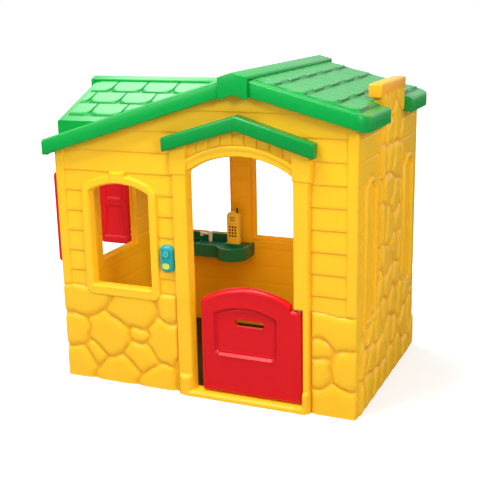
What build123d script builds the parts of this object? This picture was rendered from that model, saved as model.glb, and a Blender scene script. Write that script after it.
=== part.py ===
"""Plastic garden playhouse: blow-moulded walls, a two-part roof with a cross gable, a half door,
two shutters, an electronic doorbell and a small kitchen shelf with a tap and a telephone.

House frame while modelling: X along the front from the left corner, Y to the back, Z up, all in mm.
At the end every piece is moved so that the origin is the bottom centre of the whole object.
"""
import os

from build123d import *

# ---- walls ----------------------------------------------------------------------------------
wall_width = 1168.0            # outside width of the front and back walls
wall_depth = 786.0             # outside depth, front face to back face
wall_thickness = 24.0          # outer skin to inner skin
wall_skin = 3.0                # thickness of each skin of the hollow moulding
seat_gap = 0.4                 # clearance between fixed pieces that rest against each other
stone_base_height = 372.0      # top of the raised stone base
stone_relief = 8.0             # how far the stone base stands out
trim_relief = 18.0             # how far pilasters, arch and sills stand out
corner_post_width = 40.0       # raised corner posts on the front and back

# ---- roof -----------------------------------------------------------------------------------
ridge_x = 747.0                # main ridge, from the left corner
ridge_height = 1170.0          # top surface of the panels at the main ridge
left_eave_height = 935.0       # top surface over the left wall's outside face
right_eave_height = 1058.0     # top surface over the right wall's outside face
cross_ridge_height = 1117.0    # top surface at the cross gable's ridge
cross_gable_fall = 0.43         # cross gable's slope
cross_gable_setback = 85.0      # its eaves, in from the front and back walls
roof_overhang = 38.0           # past the walls, on all four sides
roof_thickness = 20.0          # measured vertically
roof_skin = 3.0
roof_corner_radius = 52.0      # eave corners, seen from above
fascia_height = 55.0
fascia_thickness = 18.0
cap_half_width = 54.0          # ridge cap, each side of the ridge
cap_thickness = 14.0
cap_front_reach = 12.0         # how far the cap's ends pass the fascias
cap_face_height = 76.0
strip_half_width = 30.0        # cross gable's ridge strip
strip_thickness = 9.0
strip_reach = 20.0

# ---- door and its surround --------------------------------------------------------------------
door_centre_x = 747.0
doorway_width = 392.0
doorway_spring = 835.0
doorway_apex = 897.0
threshold_height = 23.0
pilaster_width = 60.0
capital_width = 78.0           # wider block at the top of each pilaster
capital_height = 84.0
rebate_width = 35.0            # the doorway is wider by this at the hinge side, behind the leaf
rebate_height = 378.0
leaf_free_gap = 34.0           # daylight between the doorway's edge and the leaf's free edge
leaf_thickness = 26.0
leaf_side_height = 364.0       # hinge side, above the leaf's bottom edge
leaf_free_height = 346.0       # free side
leaf_crown = 405.0             # highest point of the curved top
leaf_bottom_gap = 3.0
leaf_hinge_gap = 4.0           # between the leaf's barrel and the rebate
door_pin_radius = 6.0
door_pin_length = 46.0
pin_clearance = 0.06           # radial, pins in bores
leaf_border_relief = 5.0       # raised border round the leaf's panel
leaf_panel_width = 238.0
leaf_panel_shift = 14.0         # panel's middle, from the leaf's middle towards the free edge
leaf_panel_bottom = 146.0       # above the leaf's bottom edge, as the next two
leaf_panel_spring = 304.0
leaf_panel_apex = 332.0
leaf_barrel_drop = 20.0         # barrel's top, below the hinge side's
leaf_barrel_reach = 30.0        # from the axis to the raised part of the board
slot_width = 112.0             # grip slot through the leaf
slot_height = 26.0
slot_centre_height = 272.0     # above the leaf's bottom edge
door_swing = 90.0              # degrees, outwards

# ---- windows ----------------------------------------------------------------------------------
front_window_centre = 266.0
front_window_width = 246.0
front_window_sill = 386.0
front_window_spring = 740.0
front_window_apex = 774.0
window_frame_width = 34.0
window_sill_height = 42.0
keystone_width = 66.0
keystone_height = 58.0
back_window_width = 266.0
back_window_centres = (244.0, 586.0)
back_window_sill = 385.0
back_window_spring = 800.0
back_window_apex = 836.0
back_sill_radius = 26.0
side_window_width = 292.0
side_window_sill = 392.0
side_window_head = 748.0
blind_panel_width = 184.0      # arched blind panels in the right wall, beside the chimney
blind_panel_frame = 20.0
blind_panel_bottom = 300.0
blind_panel_spring = 790.0
blind_panel_apex = 850.0

# ---- shutters -----------------------------------------------------------------------------------
shutter_width = 158.0
shutter_height = 373.0
shutter_thickness = 16.0
shutter_bottom = 381.0
shutter_spread = 326.0         # between the two hinge axes
shutter_axis_offset = 14.0     # hinge axis out from the wall
shutter_pin_radius = 3.0
shutter_knuckle_radius = 9.0
shutter_ear_height = 12.0
shutter_side_gap = 1.0         # between knuckles

# ---- chimney --------------------------------------------------------------------------------------
chimney_width = 293.0          # along Y
chimney_top = 1090.0
chimney_relief = 6.0
chimney_cap_overhang = 18.0    # along Y at each end
chimney_cap_thickness = 50.0   # along X
chimney_cap_height = 50.0
chimney_cap_seat = 12.0        # depth of the groove that sits on the column
notch_clearance = 4.0          # roof notch round the column

# ---- awning over the door ---------------------------------------------------------------------------
awning_apex = 1041.0
awning_end_height = 957.0      # top surface at the ends
awning_width = 560.0
awning_drop = 52.0             # vertical height of its front board
awning_depth = 44.0
awning_skin = 6.0
screw_radius = 2.5
screw_head_radius = 5.0
screw_head_height = 3.0
screw_clearance = 0.15

# ---- doorbell -----------------------------------------------------------------------------------------
bell_x = 457.0
bell_z = 512.0
bell_width = 57.0
bell_height = 104.0
bell_depth = 17.0
bell_shell = 2.2
bell_corner_radius = 22.0
bell_box_width = 44.0
bell_box_height = 84.0
bell_box_depth = 19.0
button_radius = 15.0
button_height_above = 20.0     # button centre above the doorbell's centre
button_proud = 4.0
button_travel = 3.0
button_socket = 8.0            # blind hole in the button's back for the spring
button_side_gap = 0.4
lens_width = 30.0
lens_height = 22.0
lens_below = 26.0              # lens centre below the doorbell's centre
board_thickness = 1.6
board_inset = 3.0
cell_radius = 5.8
cell_height = 5.4
speaker_radius = 14.0
speaker_height = 7.0
spring_wire = 0.45
spring_radius = 5.0
spring_turns = 5

# ---- kitchen shelf --------------------------------------------------------------------------------------
shelf_left = 100.0
shelf_top = 377.0
shelf_depth = 102.0
shelf_height = 52.0
shelf_skin = 5.0
lobe_x = 403.0
lobe_radius = 70.0
lobe_reach = 76.0              # lobe's centre out from the back wall's inside face
upstand_height = 34.0
upstand_thickness = 12.0
upstand_right = 352.0
sink_x = 196.0
sink_radius = 36.0
sink_depth = 34.0
tap_x = 277.0
tap_out = 30.0                 # tap's post out from the wall's inside face
tap_radius = 9.0
tap_height = 46.0
tap_spout = 46.0
cradle_width = 74.0
cradle_depth = 42.0
cradle_rise = 16.0             # cradle's top above the worktop
cradle_pocket = 26.0
phone_width = 56.0
phone_thickness = 26.0
phone_height = 165.0
phone_gap = 0.6
phone_lift = 60.0
key_rows = 4
key_columns = 3
key_pitch = 13.0
key_radius = 4.2
key_proud = 1.5
antenna_radius = 4.0
antenna_height = 16.0

# ---- pegs that lock the walls at the corners ---------------------------------------------------------------
peg_radius = 8.0
peg_length = 44.0
peg_heights = (120.0, 480.0, 800.0)
peg_clearance = 0.15

inner_back = wall_depth - wall_thickness
mid_depth = wall_depth / 2


# ---- shared helpers ------------------------------------------------------------------------------------------
def block(x0, x1, y0, y1, z0, z1):
    """A box between two corners."""
    size = Box(x1 - x0, y1 - y0, z1 - z0, align=(Align.MIN, Align.MIN, Align.MIN))
    return Pos(x0, y0, z0) * size


def rod(x, y, z, radius, length, direction=(0, 0, 1)):
    """A cylinder that starts at a point and runs along a direction."""
    plane = Plane(origin=(x, y, z), z_dir=direction)
    return extrude(plane * Circle(radius), length)


def front_point(depth):
    """Maps a wall outline drawn as (x, z) to a plane of constant Y."""
    return lambda u, v: (u, depth, v)


def side_point(depth):
    """Maps a wall outline drawn as (y, z) to a plane of constant X."""
    return lambda u, v: (depth, u, v)


def outline(points, place):
    return make_face(Polyline(*[place(u, v) for u, v in points], close=True))


def arched_face(centre, width, bottom, spring, apex, place):
    """Upright opening with a round-topped head."""
    left = centre - width / 2
    right = centre + width / 2
    sides = Polyline(place(left, spring), place(left, bottom), place(right, bottom), place(right, spring))
    head = ThreePointArc(place(right, spring), place(centre, apex), place(left, spring))
    return make_face(sides + head)


def hollow_panel(face, thickness, direction):
    """A double-skin moulding: the outline extruded, with a closed cavity inside."""
    shell = extrude(face, thickness, dir=direction)
    inner = offset(face, amount=-wall_skin)
    start = Vector(*direction) * wall_skin
    cavity = extrude(Pos(start.X, start.Y, start.Z) * inner, thickness - 2 * wall_skin, dir=direction)
    return shell - cavity


def main_roof_z(x):
    """Height of the main roof's top surface."""
    if x <= ridge_x:
        return ridge_height + (left_eave_height - ridge_height) * (ridge_x - x) / ridge_x
    fall = (ridge_height - right_eave_height) / (wall_width - ridge_x)
    return ridge_height - fall * (x - ridge_x)


def cross_roof_z(y):
    """Height of the cross gable's top surface."""
    return cross_ridge_height - cross_gable_fall * abs(y - mid_depth)


# ---- walls ---------------------------------------------------------------------------------------------------------
def gable_wall_outline(place):
    """Front and back outline, just under the main roof."""
    drop = roof_thickness + seat_gap
    return outline([(0, 0), (wall_width, 0), (wall_width, main_roof_z(wall_width) - drop),
                    (ridge_x, ridge_height - drop), (0, left_eave_height - drop)], place)


def doorway_left():
    return door_centre_x - doorway_width / 2


def doorway_right():
    return door_centre_x + doorway_width / 2


def rebate_right():
    return doorway_right() + rebate_width


def door_axis():
    """Hinge axis of the half door: the centre of the leaf's barrel."""
    return rebate_right() - leaf_hinge_gap - leaf_thickness / 2, 1.0


def peg_holes():
    """Clearance holes for every corner peg, shared by the four walls."""
    holes = [rod(p[0], p[1], p[2], peg_radius + peg_clearance, peg_length + 1, p[3]) for p in peg_places(0.5)]
    return Compound(holes)


def peg_places(extra=0.0):
    """Start point and direction of each corner peg; pegs run along Y through the joint face."""
    places = []
    for x in (wall_thickness / 2, wall_width - wall_thickness / 2):
        for z in peg_heights:
            places.append((x, wall_thickness / 2 - 4 - extra, z, (0, 1, 0)))
            places.append((x, wall_depth - wall_thickness / 2 + 4 + extra, z, (0, -1, 0)))
    return places


def front_relief(place):
    """Raised parts on the front face: base, corner posts, door surround and window surround."""
    out = (0, -1, 0)
    left_end = doorway_left() - pilaster_width
    right_end = doorway_right() + pilaster_width
    base_left = outline([(0, 0), (left_end, 0), (left_end, stone_base_height), (0, stone_base_height)], place)
    base_right = outline([(right_end, 0), (wall_width, 0), (wall_width, stone_base_height),
                          (right_end, stone_base_height)], place)
    base_left -= arched_face(front_window_centre, front_window_width, front_window_sill,
                             front_window_spring, front_window_apex, place)
    relief = extrude(base_left, stone_relief, dir=out) + extrude(base_right, stone_relief, dir=out)
    for x in (0, wall_width - corner_post_width):
        post = outline([(x, 0), (x + corner_post_width, 0), (x + corner_post_width, left_eave_height - 60),
                        (x, left_eave_height - 60)], place)
        relief += extrude(post, stone_relief, dir=out)
    relief += door_surround(place, out)
    relief += window_surround(place, out)
    return relief - extrude(outline(awning_outline(seat_gap), place), trim_relief + 10, dir=out)


def door_surround(place, out):
    """Pilasters, capitals and the arched band over the doorway."""
    outer = arched_face(door_centre_x, doorway_width + 2 * pilaster_width, 0,
                        doorway_spring, doorway_apex + 44, place)
    band = extrude(outer, trim_relief, dir=out)
    for x in (doorway_left() - pilaster_width / 2, doorway_right() + pilaster_width / 2):
        capital = outline([(x - capital_width / 2, doorway_spring - 12),
                           (x + capital_width / 2, doorway_spring - 12),
                           (x + capital_width / 2, doorway_spring - 12 + capital_height),
                           (x - capital_width / 2, doorway_spring - 12 + capital_height)], place)
        band += extrude(capital, trim_relief + 4, dir=out)
    return band - doorway_cut(place, trim_relief + 10, out)


def doorway_cut(place, reach, out):
    """The doorway above the threshold, with the wider rebate at the hinge side."""
    clear = arched_face(door_centre_x, doorway_width, threshold_height, doorway_spring, doorway_apex, place)
    rebate = outline([(door_centre_x, threshold_height), (rebate_right(), threshold_height),
                      (rebate_right(), rebate_height), (door_centre_x, rebate_height)], place)
    return extrude(clear, reach, dir=out) + extrude(rebate, reach, dir=out)


def window_surround(place, out):
    """Raised frame, thicker sill and keystone round the front window."""
    clear = arched_face(front_window_centre, front_window_width, front_window_sill,
                        front_window_spring, front_window_apex, place)
    outer = arched_face(front_window_centre, front_window_width + 2 * window_frame_width,
                        front_window_sill - window_sill_height, front_window_spring,
                        front_window_apex + window_frame_width, place)
    frame = extrude(outer - clear, trim_relief - 4, dir=out)
    half = keystone_width / 2
    bottom = front_window_apex - 2
    stone = outline([(front_window_centre - half + 8, bottom), (front_window_centre + half - 8, bottom),
                     (front_window_centre + half, bottom + keystone_height),
                     (front_window_centre - half, bottom + keystone_height)], place)
    return frame + extrude(stone, trim_relief, dir=out)


def front_wall():
    place = front_point(0)
    inward = (0, 1, 0)
    face = gable_wall_outline(place)
    face -= arched_face(front_window_centre, front_window_width, front_window_sill,
                        front_window_spring, front_window_apex, place)
    face -= arched_face(door_centre_x, doorway_width, threshold_height, doorway_spring, doorway_apex, place)
    face -= outline([(door_centre_x, threshold_height), (rebate_right(), threshold_height),
                     (rebate_right(), rebate_height), (door_centre_x, rebate_height)], place)
    wall = hollow_panel(face, wall_thickness, inward)
    wall += front_relief(place)
    wall -= bell_pocket()
    wall -= door_pin_holes(pin_clearance)
    wall -= awning_screw_holes()
    return wall - peg_holes()


def bell_pocket():
    """Recess in the front wall for the doorbell's box."""
    half_w = bell_box_width / 2 + seat_gap
    half_h = bell_box_height / 2 + seat_gap
    return block(bell_x - half_w, bell_x + half_w, -1, bell_box_depth + seat_gap,
                 bell_z - half_h, bell_z + half_h)


def back_wall():
    place = front_point(wall_depth)
    face = gable_wall_outline(place)
    for centre in back_window_centres:
        opening = arched_face(centre, back_window_width, back_window_sill,
                              back_window_spring, back_window_apex, place)
        lower = opening.vertices().group_by(Axis.Z)[0]
        face -= fillet(lower, back_sill_radius)
    wall = hollow_panel(face, wall_thickness, (0, -1, 0))
    base = outline([(0, 0), (wall_width, 0), (wall_width, stone_base_height), (0, stone_base_height)], place)
    wall += extrude(base, stone_relief, dir=(0, 1, 0))
    for x in (0, wall_width - corner_post_width):
        wall += block(x, x + corner_post_width, wall_depth, wall_depth + stone_relief,
                      0, left_eave_height - 60)
    wall -= shelf_screw_holes()
    return wall - peg_holes()


def side_span():
    """Y range of the side walls, between the front and back walls."""
    return wall_thickness + seat_gap, wall_depth - wall_thickness - seat_gap


def left_wall():
    """Left wall with the cross gable's peak, the window and the shutter ears."""
    place = side_point(0)
    y0, y1 = side_span()
    drop = roof_thickness + seat_gap
    low = left_eave_height - drop
    step0 = cross_gable_setback + fascia_thickness + seat_gap
    step1 = wall_depth - step0
    face = outline([(y0, 0), (y1, 0), (y1, low), (step1, low), (step1, cross_roof_z(step1) - drop),
                    (mid_depth, cross_ridge_height - drop), (step0, cross_roof_z(step0) - drop),
                    (step0, low), (y0, low)], place)
    half = side_window_width / 2
    face -= outline([(mid_depth - half, side_window_sill), (mid_depth + half, side_window_sill),
                     (mid_depth + half, side_window_head), (mid_depth - half, side_window_head)], place)
    wall = hollow_panel(face, wall_thickness, (1, 0, 0))
    wall += block(-stone_relief, 0, y0, y1, 0, stone_base_height - 12)
    for y in shutter_axes():
        for z in shutter_ear_levels():
            wall += shutter_ear(y, z)
    wall -= shutter_pin_bores(pin_clearance)
    return wall - peg_holes()


def shutter_axes():
    return mid_depth - shutter_spread / 2, mid_depth + shutter_spread / 2


def shutter_ear_levels():
    """Bottom of the lower and of the upper ear beside each shutter."""
    low = shutter_bottom + 40
    high = shutter_bottom + shutter_height - 40 - 3 * shutter_ear_height
    return low, high


def shutter_ear(y, z):
    """A pair of ears on the wall with the shutter's knuckle between them."""
    pair = None
    for level in (z, z + 2 * shutter_ear_height):
        ear = rod(-shutter_axis_offset, y, level, shutter_knuckle_radius, shutter_ear_height)
        ear += block(-shutter_axis_offset, 0, y - shutter_knuckle_radius, y + shutter_knuckle_radius,
                     level, level + shutter_ear_height)
        pair = ear if pair is None else pair + ear
    return pair


def shutter_pin_bores(clearance):
    """Pins through both ears and the knuckle, or their bores when a clearance is given."""
    pins = []
    for y in shutter_axes():
        for z in shutter_ear_levels():
            pins.append(rod(-shutter_axis_offset, y, z - 1, shutter_pin_radius + clearance,
                            3 * shutter_ear_height + 2))
    return Compound(pins)


def right_wall():
    """Right wall with two blind arched panels and the chimney column rising through the eave."""
    place = side_point(wall_width)
    y0, y1 = side_span()
    drop = roof_thickness + seat_gap
    top = main_roof_z(wall_width) - drop
    col0 = mid_depth - chimney_width / 2
    col1 = mid_depth + chimney_width / 2
    face = outline([(y0, 0), (y1, 0), (y1, top), (col1, top), (col1, chimney_top), (col0, chimney_top),
                    (col0, top), (y0, top)], place)
    wall = hollow_panel(face, wall_thickness, (-1, 0, 0))
    wall += block(wall_width, wall_width + stone_relief, y0, y1, 0, blind_panel_bottom - blind_panel_frame)
    wall += block(wall_width, wall_width + chimney_relief, col0, col1, 0, chimney_top)
    for centre in ((y0 + col0) / 2, (y1 + col1) / 2):
        inside = arched_face(centre, blind_panel_width - 2 * blind_panel_frame, blind_panel_bottom,
                             blind_panel_spring, blind_panel_apex - blind_panel_frame, place)
        frame = arched_face(centre, blind_panel_width, blind_panel_bottom - blind_panel_frame,
                            blind_panel_spring, blind_panel_apex, place) - inside
        wall += extrude(frame, chimney_relief, dir=(1, 0, 0))
    return wall - peg_holes()


def corner_pegs():
    return Compound([rod(p[0], p[1], p[2], peg_radius, peg_length, p[3]) for p in peg_places()])


# ---- roof ------------------------------------------------------------------------------------------------------------
def roof_plan(left, right, rounded_side):
    """Plan outline of one roof moulding, with two rounded corners."""
    size = Rectangle(right - left, wall_depth + 2 * roof_overhang)
    plan = Pos((left + right) / 2, mid_depth) * size
    corners = plan.vertices().group_by(Axis.X)[rounded_side]
    return fillet(corners, roof_corner_radius)


def shell_from(region, plan, open_block, keep_solid=None):
    """Roof sheet with closed cavity and a fascia skirt, cut from the region under its top surface."""
    tall = extrude(plan, ridge_height + 200)
    inner_plan = offset(plan, amount=-fascia_thickness)
    cavity_plan = offset(plan, amount=-fascia_thickness - roof_skin)
    sheet = (region & tall) - Pos(0, 0, -roof_thickness) * region
    band = (region & (tall - extrude(inner_plan, ridge_height + 200) - open_block))
    skirt = band - Pos(0, 0, -fascia_height) * region
    slot = Pos(0, 0, -roof_skin) * region - Pos(0, 0, roof_skin - roof_thickness) * region
    cavity = slot & extrude(cavity_plan, ridge_height + 200)
    if keep_solid is not None:
        cavity -= keep_solid
    return sheet + skirt - cavity


def left_slope():
    """Everything under the left slope."""
    left = -roof_overhang
    right = ridge_x - seat_gap
    slope = outline([(left, 0), (right, 0), (right, main_roof_z(right)), (left, main_roof_z(left))],
                    front_point(-roof_overhang))
    return extrude(slope, wall_depth + 2 * roof_overhang, dir=(0, 1, 0))


def cross_gable():
    """Everything under the cross gable."""
    left = -roof_overhang
    front = cross_gable_setback
    back = wall_depth - cross_gable_setback
    gable = outline([(front, 0), (back, 0), (back, cross_roof_z(back)), (mid_depth, cross_ridge_height),
                     (front, cross_roof_z(front))], side_point(left))
    return extrude(gable, ridge_x - seat_gap - left, dir=(1, 0, 0))


def left_region():
    """Everything under the left slope and the cross gable."""
    return left_slope() + cross_gable()


def gable_riser_space(margin):
    """Where the cross gable's upright eave faces stand, grown by a margin."""
    near = cross_gable_setback - margin
    far = cross_gable_setback + fascia_thickness + margin
    return (block(-roof_overhang, ridge_x, near, far, 0, ridge_height)
            + block(-roof_overhang, ridge_x, wall_depth - far, wall_depth - near, 0, ridge_height))


def roof_left():
    region = left_region()
    plan = roof_plan(-roof_overhang, ridge_x - seat_gap, 0)
    open_side = block(ridge_x - fascia_thickness - 1, ridge_x, fascia_thickness - roof_overhang,
                      wall_depth + roof_overhang - fascia_thickness, 0, ridge_height + 200)
    panel = shell_from(region, plan, open_side, gable_riser_space(roof_skin))
    risers = region & extrude(plan, ridge_height) & gable_riser_space(0)
    return panel + (risers - Pos(0, 0, -roof_thickness) * left_slope())


def roof_right():
    left = ridge_x + seat_gap
    right = wall_width + roof_overhang
    front = -roof_overhang
    back = wall_depth + roof_overhang
    slope = outline([(left, 0), (right, 0), (right, main_roof_z(right)), (left, main_roof_z(left))],
                    front_point(front))
    region = extrude(slope, back - front, dir=(0, 1, 0))
    open_side = block(ridge_x, ridge_x + fascia_thickness + 1, fascia_thickness - roof_overhang,
                      wall_depth + roof_overhang - fascia_thickness, 0, ridge_height + 200)
    plan = roof_plan(left, right, -1)
    half = chimney_width / 2 + notch_clearance
    inner = wall_width - wall_thickness - notch_clearance
    notch = block(inner, right + 1, mid_depth - half, mid_depth + half, 0, ridge_height)
    around = block(inner - roof_skin, right + 1, mid_depth - half - roof_skin,
                   mid_depth + half + roof_skin, 0, ridge_height)
    panel = shell_from(region, plan, open_side, around)
    outside = wall_width + stone_relief + notch_clearance
    cheeks = (block(outside, right, mid_depth - half - fascia_thickness, mid_depth + half + fascia_thickness,
                    0, ridge_height) & region & extrude(plan, ridge_height))
    return panel + (cheeks - Pos(0, 0, -fascia_height) * region) - notch


def ridge_cap():
    """Cap over the main ridge, with a face plate at each end."""
    lift = seat_gap
    wide = cap_half_width

    def chevron(low, high):
        return [(ridge_x - wide, main_roof_z(ridge_x - wide) + low), (ridge_x, ridge_height + low),
                (ridge_x + wide, main_roof_z(ridge_x + wide) + low),
                (ridge_x + wide, main_roof_z(ridge_x + wide) + high), (ridge_x, ridge_height + high),
                (ridge_x - wide, main_roof_z(ridge_x - wide) + high)]

    front = -roof_overhang - cap_front_reach
    length = wall_depth + 2 * roof_overhang + 2 * cap_front_reach
    cap = extrude(outline(chevron(lift, cap_thickness), front_point(front)), length, dir=(0, 1, 0))
    plate = chevron(cap_thickness - cap_face_height, cap_thickness)
    depth = cap_front_reach - seat_gap
    for y in (front, front + length - depth):
        cap += extrude(outline(plate, front_point(y)), depth, dir=(0, 1, 0))
    return cap


def cross_ridge_strip():
    """Lipped strip along the cross gable's ridge, from its outer end to the main slope."""
    wide = strip_half_width
    points = [(mid_depth - wide, cross_roof_z(mid_depth - wide) + seat_gap),
              (mid_depth, cross_ridge_height + seat_gap),
              (mid_depth + wide, cross_roof_z(mid_depth + wide) + seat_gap),
              (mid_depth + wide, cross_roof_z(mid_depth + wide) + strip_thickness),
              (mid_depth, cross_ridge_height + strip_thickness),
              (mid_depth - wide, cross_roof_z(mid_depth - wide) + strip_thickness)]
    start = -roof_overhang - strip_reach
    meet = ridge_x * (1 - (ridge_height - cross_ridge_height) / (ridge_height - left_eave_height))
    strip = extrude(outline(points, side_point(start)), meet - start, dir=(1, 0, 0))
    face = [(points[0][0], points[0][1] - fascia_height), (mid_depth, cross_ridge_height - fascia_height),
            (points[2][0], points[2][1] - fascia_height)] + points[3:]
    strip += extrude(outline(face, side_point(start)), strip_reach - seat_gap, dir=(1, 0, 0))
    return strip - Pos(0, 0, seat_gap) * left_region()


def awning_top():
    """The awning's top line: left end, apex, right end."""
    half = awning_width / 2
    return [(door_centre_x - half, awning_end_height), (door_centre_x, awning_apex),
            (door_centre_x + half, awning_end_height)]


def awning_outline(margin):
    """Front view of the awning, grown by a margin so that the wall's relief can clear it."""
    grown = [(awning_top()[0][0] - margin, awning_end_height), (door_centre_x, awning_apex),
             (awning_top()[2][0] + margin, awning_end_height)]
    return ([(x, z + margin) for x, z in grown]
            + [(x, z - awning_drop - margin) for x, z in reversed(grown)])


def door_awning():
    """Gable-shaped trim over the door: sloped top, front board, end plates, open underneath."""
    top = awning_top()
    solid = extrude(outline(awning_outline(0), front_point(-seat_gap)), awning_depth, dir=(0, -1, 0))
    low = [(top[0][0] + awning_skin, top[0][1]), (door_centre_x, awning_apex),
           (top[2][0] - awning_skin, top[2][1])]
    inner = [(x, z - awning_skin) for x, z in low] + [(x, z - awning_drop - 1) for x, z in reversed(low)]
    hollow = extrude(outline(inner, front_point(-seat_gap - 8)), awning_depth - 8 - awning_skin,
                     dir=(0, -1, 0))
    return solid - hollow - awning_screw_holes()


def awning_screw_places():
    """Screws from inside the front wall into the awning's back flange."""
    rise = (awning_apex - awning_end_height) / (awning_width / 2)
    places = []
    for side in (-1, 1):
        for share in (0.3, 0.75):
            x = door_centre_x + side * share * awning_width / 2
            z = awning_apex - rise * share * awning_width / 2 - awning_drop / 2
            places.append((x, z))
    return places


def awning_screws():
    screws = []
    for x, z in awning_screw_places():
        shank = rod(x, wall_thickness, z, screw_radius, wall_thickness + 6.5, (0, -1, 0))
        screws.append(shank + rod(x, wall_thickness, z, screw_head_radius, screw_head_height, (0, 1, 0)))
    return Compound(screws)


def awning_screw_holes():
    radius = screw_radius + screw_clearance
    return Compound([rod(x, wall_thickness + 1, z, radius, wall_thickness + 8.5, (0, -1, 0))
                     for x, z in awning_screw_places()])


def chimney_cap():
    """Slab that sits on the column, with a groove underneath."""
    outer = wall_width + chimney_relief + 4
    y0 = mid_depth - chimney_width / 2 - chimney_cap_overhang
    y1 = mid_depth + chimney_width / 2 + chimney_cap_overhang
    base = chimney_top - chimney_cap_seat
    slab = block(outer - chimney_cap_thickness, outer, y0, y1, base, base + chimney_cap_height)
    slab = fillet(slab.edges(), 4)
    groove = block(wall_width - wall_thickness - seat_gap, wall_width + chimney_relief + seat_gap,
                   mid_depth - chimney_width / 2 - seat_gap, mid_depth + chimney_width / 2 + seat_gap,
                   base - 1, chimney_top + seat_gap)
    return slab - groove


# ---- half door ---------------------------------------------------------------------------------------------------------
def leaf_span():
    """Free edge and hinge-axis X of the leaf."""
    axis_x, _ = door_axis()
    return doorway_left() + leaf_free_gap, axis_x


def leaf_outline(place):
    free, axis_x = leaf_span()
    bottom = threshold_height + leaf_bottom_gap
    barrel_top = bottom + leaf_side_height - leaf_barrel_drop
    side_x = axis_x - leaf_barrel_reach
    sides = Polyline(place(free, bottom + leaf_free_height), place(free, bottom), place(axis_x, bottom),
                     place(axis_x, barrel_top), place(side_x, barrel_top),
                     place(side_x, bottom + leaf_side_height))
    crown = ThreePointArc(place(side_x, bottom + leaf_side_height),
                          place((free + side_x) / 2, bottom + leaf_crown),
                          place(free, bottom + leaf_free_height))
    return make_face(sides + crown)


def door_leaf():
    """Half door: hollow board, raised border, barrel at the hinge side, grip slot through it."""
    axis_x, axis_y = door_axis()
    free, _ = leaf_span()
    front = axis_y - leaf_thickness / 2
    board_front_y = front + leaf_border_relief
    bottom = threshold_height + leaf_bottom_gap
    centre = (free + axis_x) / 2
    place = front_point(board_front_y)
    grip_height = bottom + slot_centre_height
    straight = (slot_width - slot_height) / 2
    half = slot_height / 2
    grip = make_face(Polyline(place(centre - straight, grip_height - half),
                              place(centre + straight, grip_height - half))
                     + ThreePointArc(place(centre + straight, grip_height - half),
                                     place(centre + straight + half, grip_height),
                                     place(centre + straight, grip_height + half))
                     + Polyline(place(centre + straight, grip_height + half),
                                place(centre - straight, grip_height + half))
                     + ThreePointArc(place(centre - straight, grip_height + half),
                                     place(centre - straight - half, grip_height),
                                     place(centre - straight, grip_height - half)))
    leaf = hollow_panel(leaf_outline(place) - grip, leaf_thickness - leaf_border_relief, (0, 1, 0))
    panel = arched_face(centre - leaf_panel_shift, leaf_panel_width, bottom + leaf_panel_bottom,
                        bottom + leaf_panel_spring, bottom + leaf_panel_apex, place)
    leaf += extrude(leaf_outline(place) - panel, leaf_border_relief, dir=(0, -1, 0))
    leaf += rod(axis_x, axis_y, bottom, leaf_thickness / 2, leaf_side_height - leaf_barrel_drop)
    return leaf - door_pin_holes(pin_clearance)


def door_pin_spots():
    """Bottom of each door pin: one up through the threshold, one down through the rebate's head."""
    leaf_low = threshold_height + leaf_bottom_gap
    leaf_high = leaf_low + leaf_side_height - leaf_barrel_drop
    return leaf_low - door_pin_length / 2 + 4, leaf_high - 20


def door_pin_holes(clearance):
    axis_x, axis_y = door_axis()
    low, high = door_pin_spots()
    radius = door_pin_radius + clearance
    return Compound([rod(axis_x, axis_y, low - 0.2, radius, door_pin_length + 0.4),
                     rod(axis_x, axis_y, high - 0.2, radius, door_pin_length + 0.4)])


def door_pins():
    axis_x, axis_y = door_axis()
    return Compound([rod(axis_x, axis_y, z, door_pin_radius, door_pin_length) for z in door_pin_spots()])


# ---- shutters --------------------------------------------------------------------------------------------------------------
def shutter(y, side):
    """A shutter standing open at a right angle; side says which of its faces looks at the window."""
    axis_x = -shutter_axis_offset
    inner = axis_x - shutter_knuckle_radius - 1
    outer = axis_x - shutter_width
    half = shutter_thickness / 2
    top = shutter_bottom + shutter_height
    face = outline([(outer, shutter_bottom), (inner, shutter_bottom), (inner, top), (outer, top)],
                   front_point(y - half))
    face = fillet(face.vertices().group_by(Axis.X)[0], 18)
    board = extrude(face, shutter_thickness, dir=(0, 1, 0))
    middle = (inner + outer) / 2
    for low, high in ((shutter_bottom + 26, shutter_bottom + shutter_height / 2 - 10),
                      (shutter_bottom + shutter_height / 2 + 10, top - 26)):
        field = outline([(outer + 24, low), (inner - 24, low), (inner - 24, high), (outer + 24, high)],
                        front_point(y - side * half))
        board -= extrude(field, 4, dir=(0, side, 0))
    grip = outline([(middle - 14, shutter_bottom + shutter_height / 2 - 6),
                    (middle + 14, shutter_bottom + shutter_height / 2 - 6),
                    (middle + 14, shutter_bottom + shutter_height / 2 + 6),
                    (middle - 14, shutter_bottom + shutter_height / 2 + 6)], front_point(y - side * half))
    board += extrude(grip, 4, dir=(0, -side, 0))
    gap = shutter_side_gap
    for level in shutter_ear_levels():
        low = level + shutter_ear_height + gap
        high = level + 2 * shutter_ear_height - gap
        board += rod(axis_x, y, low, shutter_knuckle_radius, high - low)
        board += block(inner - 2, axis_x, y - half, y + half, low, high)
    return board - shutter_pin_bores(pin_clearance)


def shutter_pins():
    pins = []
    for y in shutter_axes():
        for z in shutter_ear_levels():
            pins.append(rod(-shutter_axis_offset, y, z, shutter_pin_radius, 3 * shutter_ear_height))
    return Compound(pins)


# ---- doorbell ----------------------------------------------------------------------------------------------------------------
def bell_plane(y):
    """Plane facing out of the front wall, with its X to the right."""
    return Plane(origin=(bell_x, y, bell_z), x_dir=(1, 0, 0), z_dir=(0, -1, 0))


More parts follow.
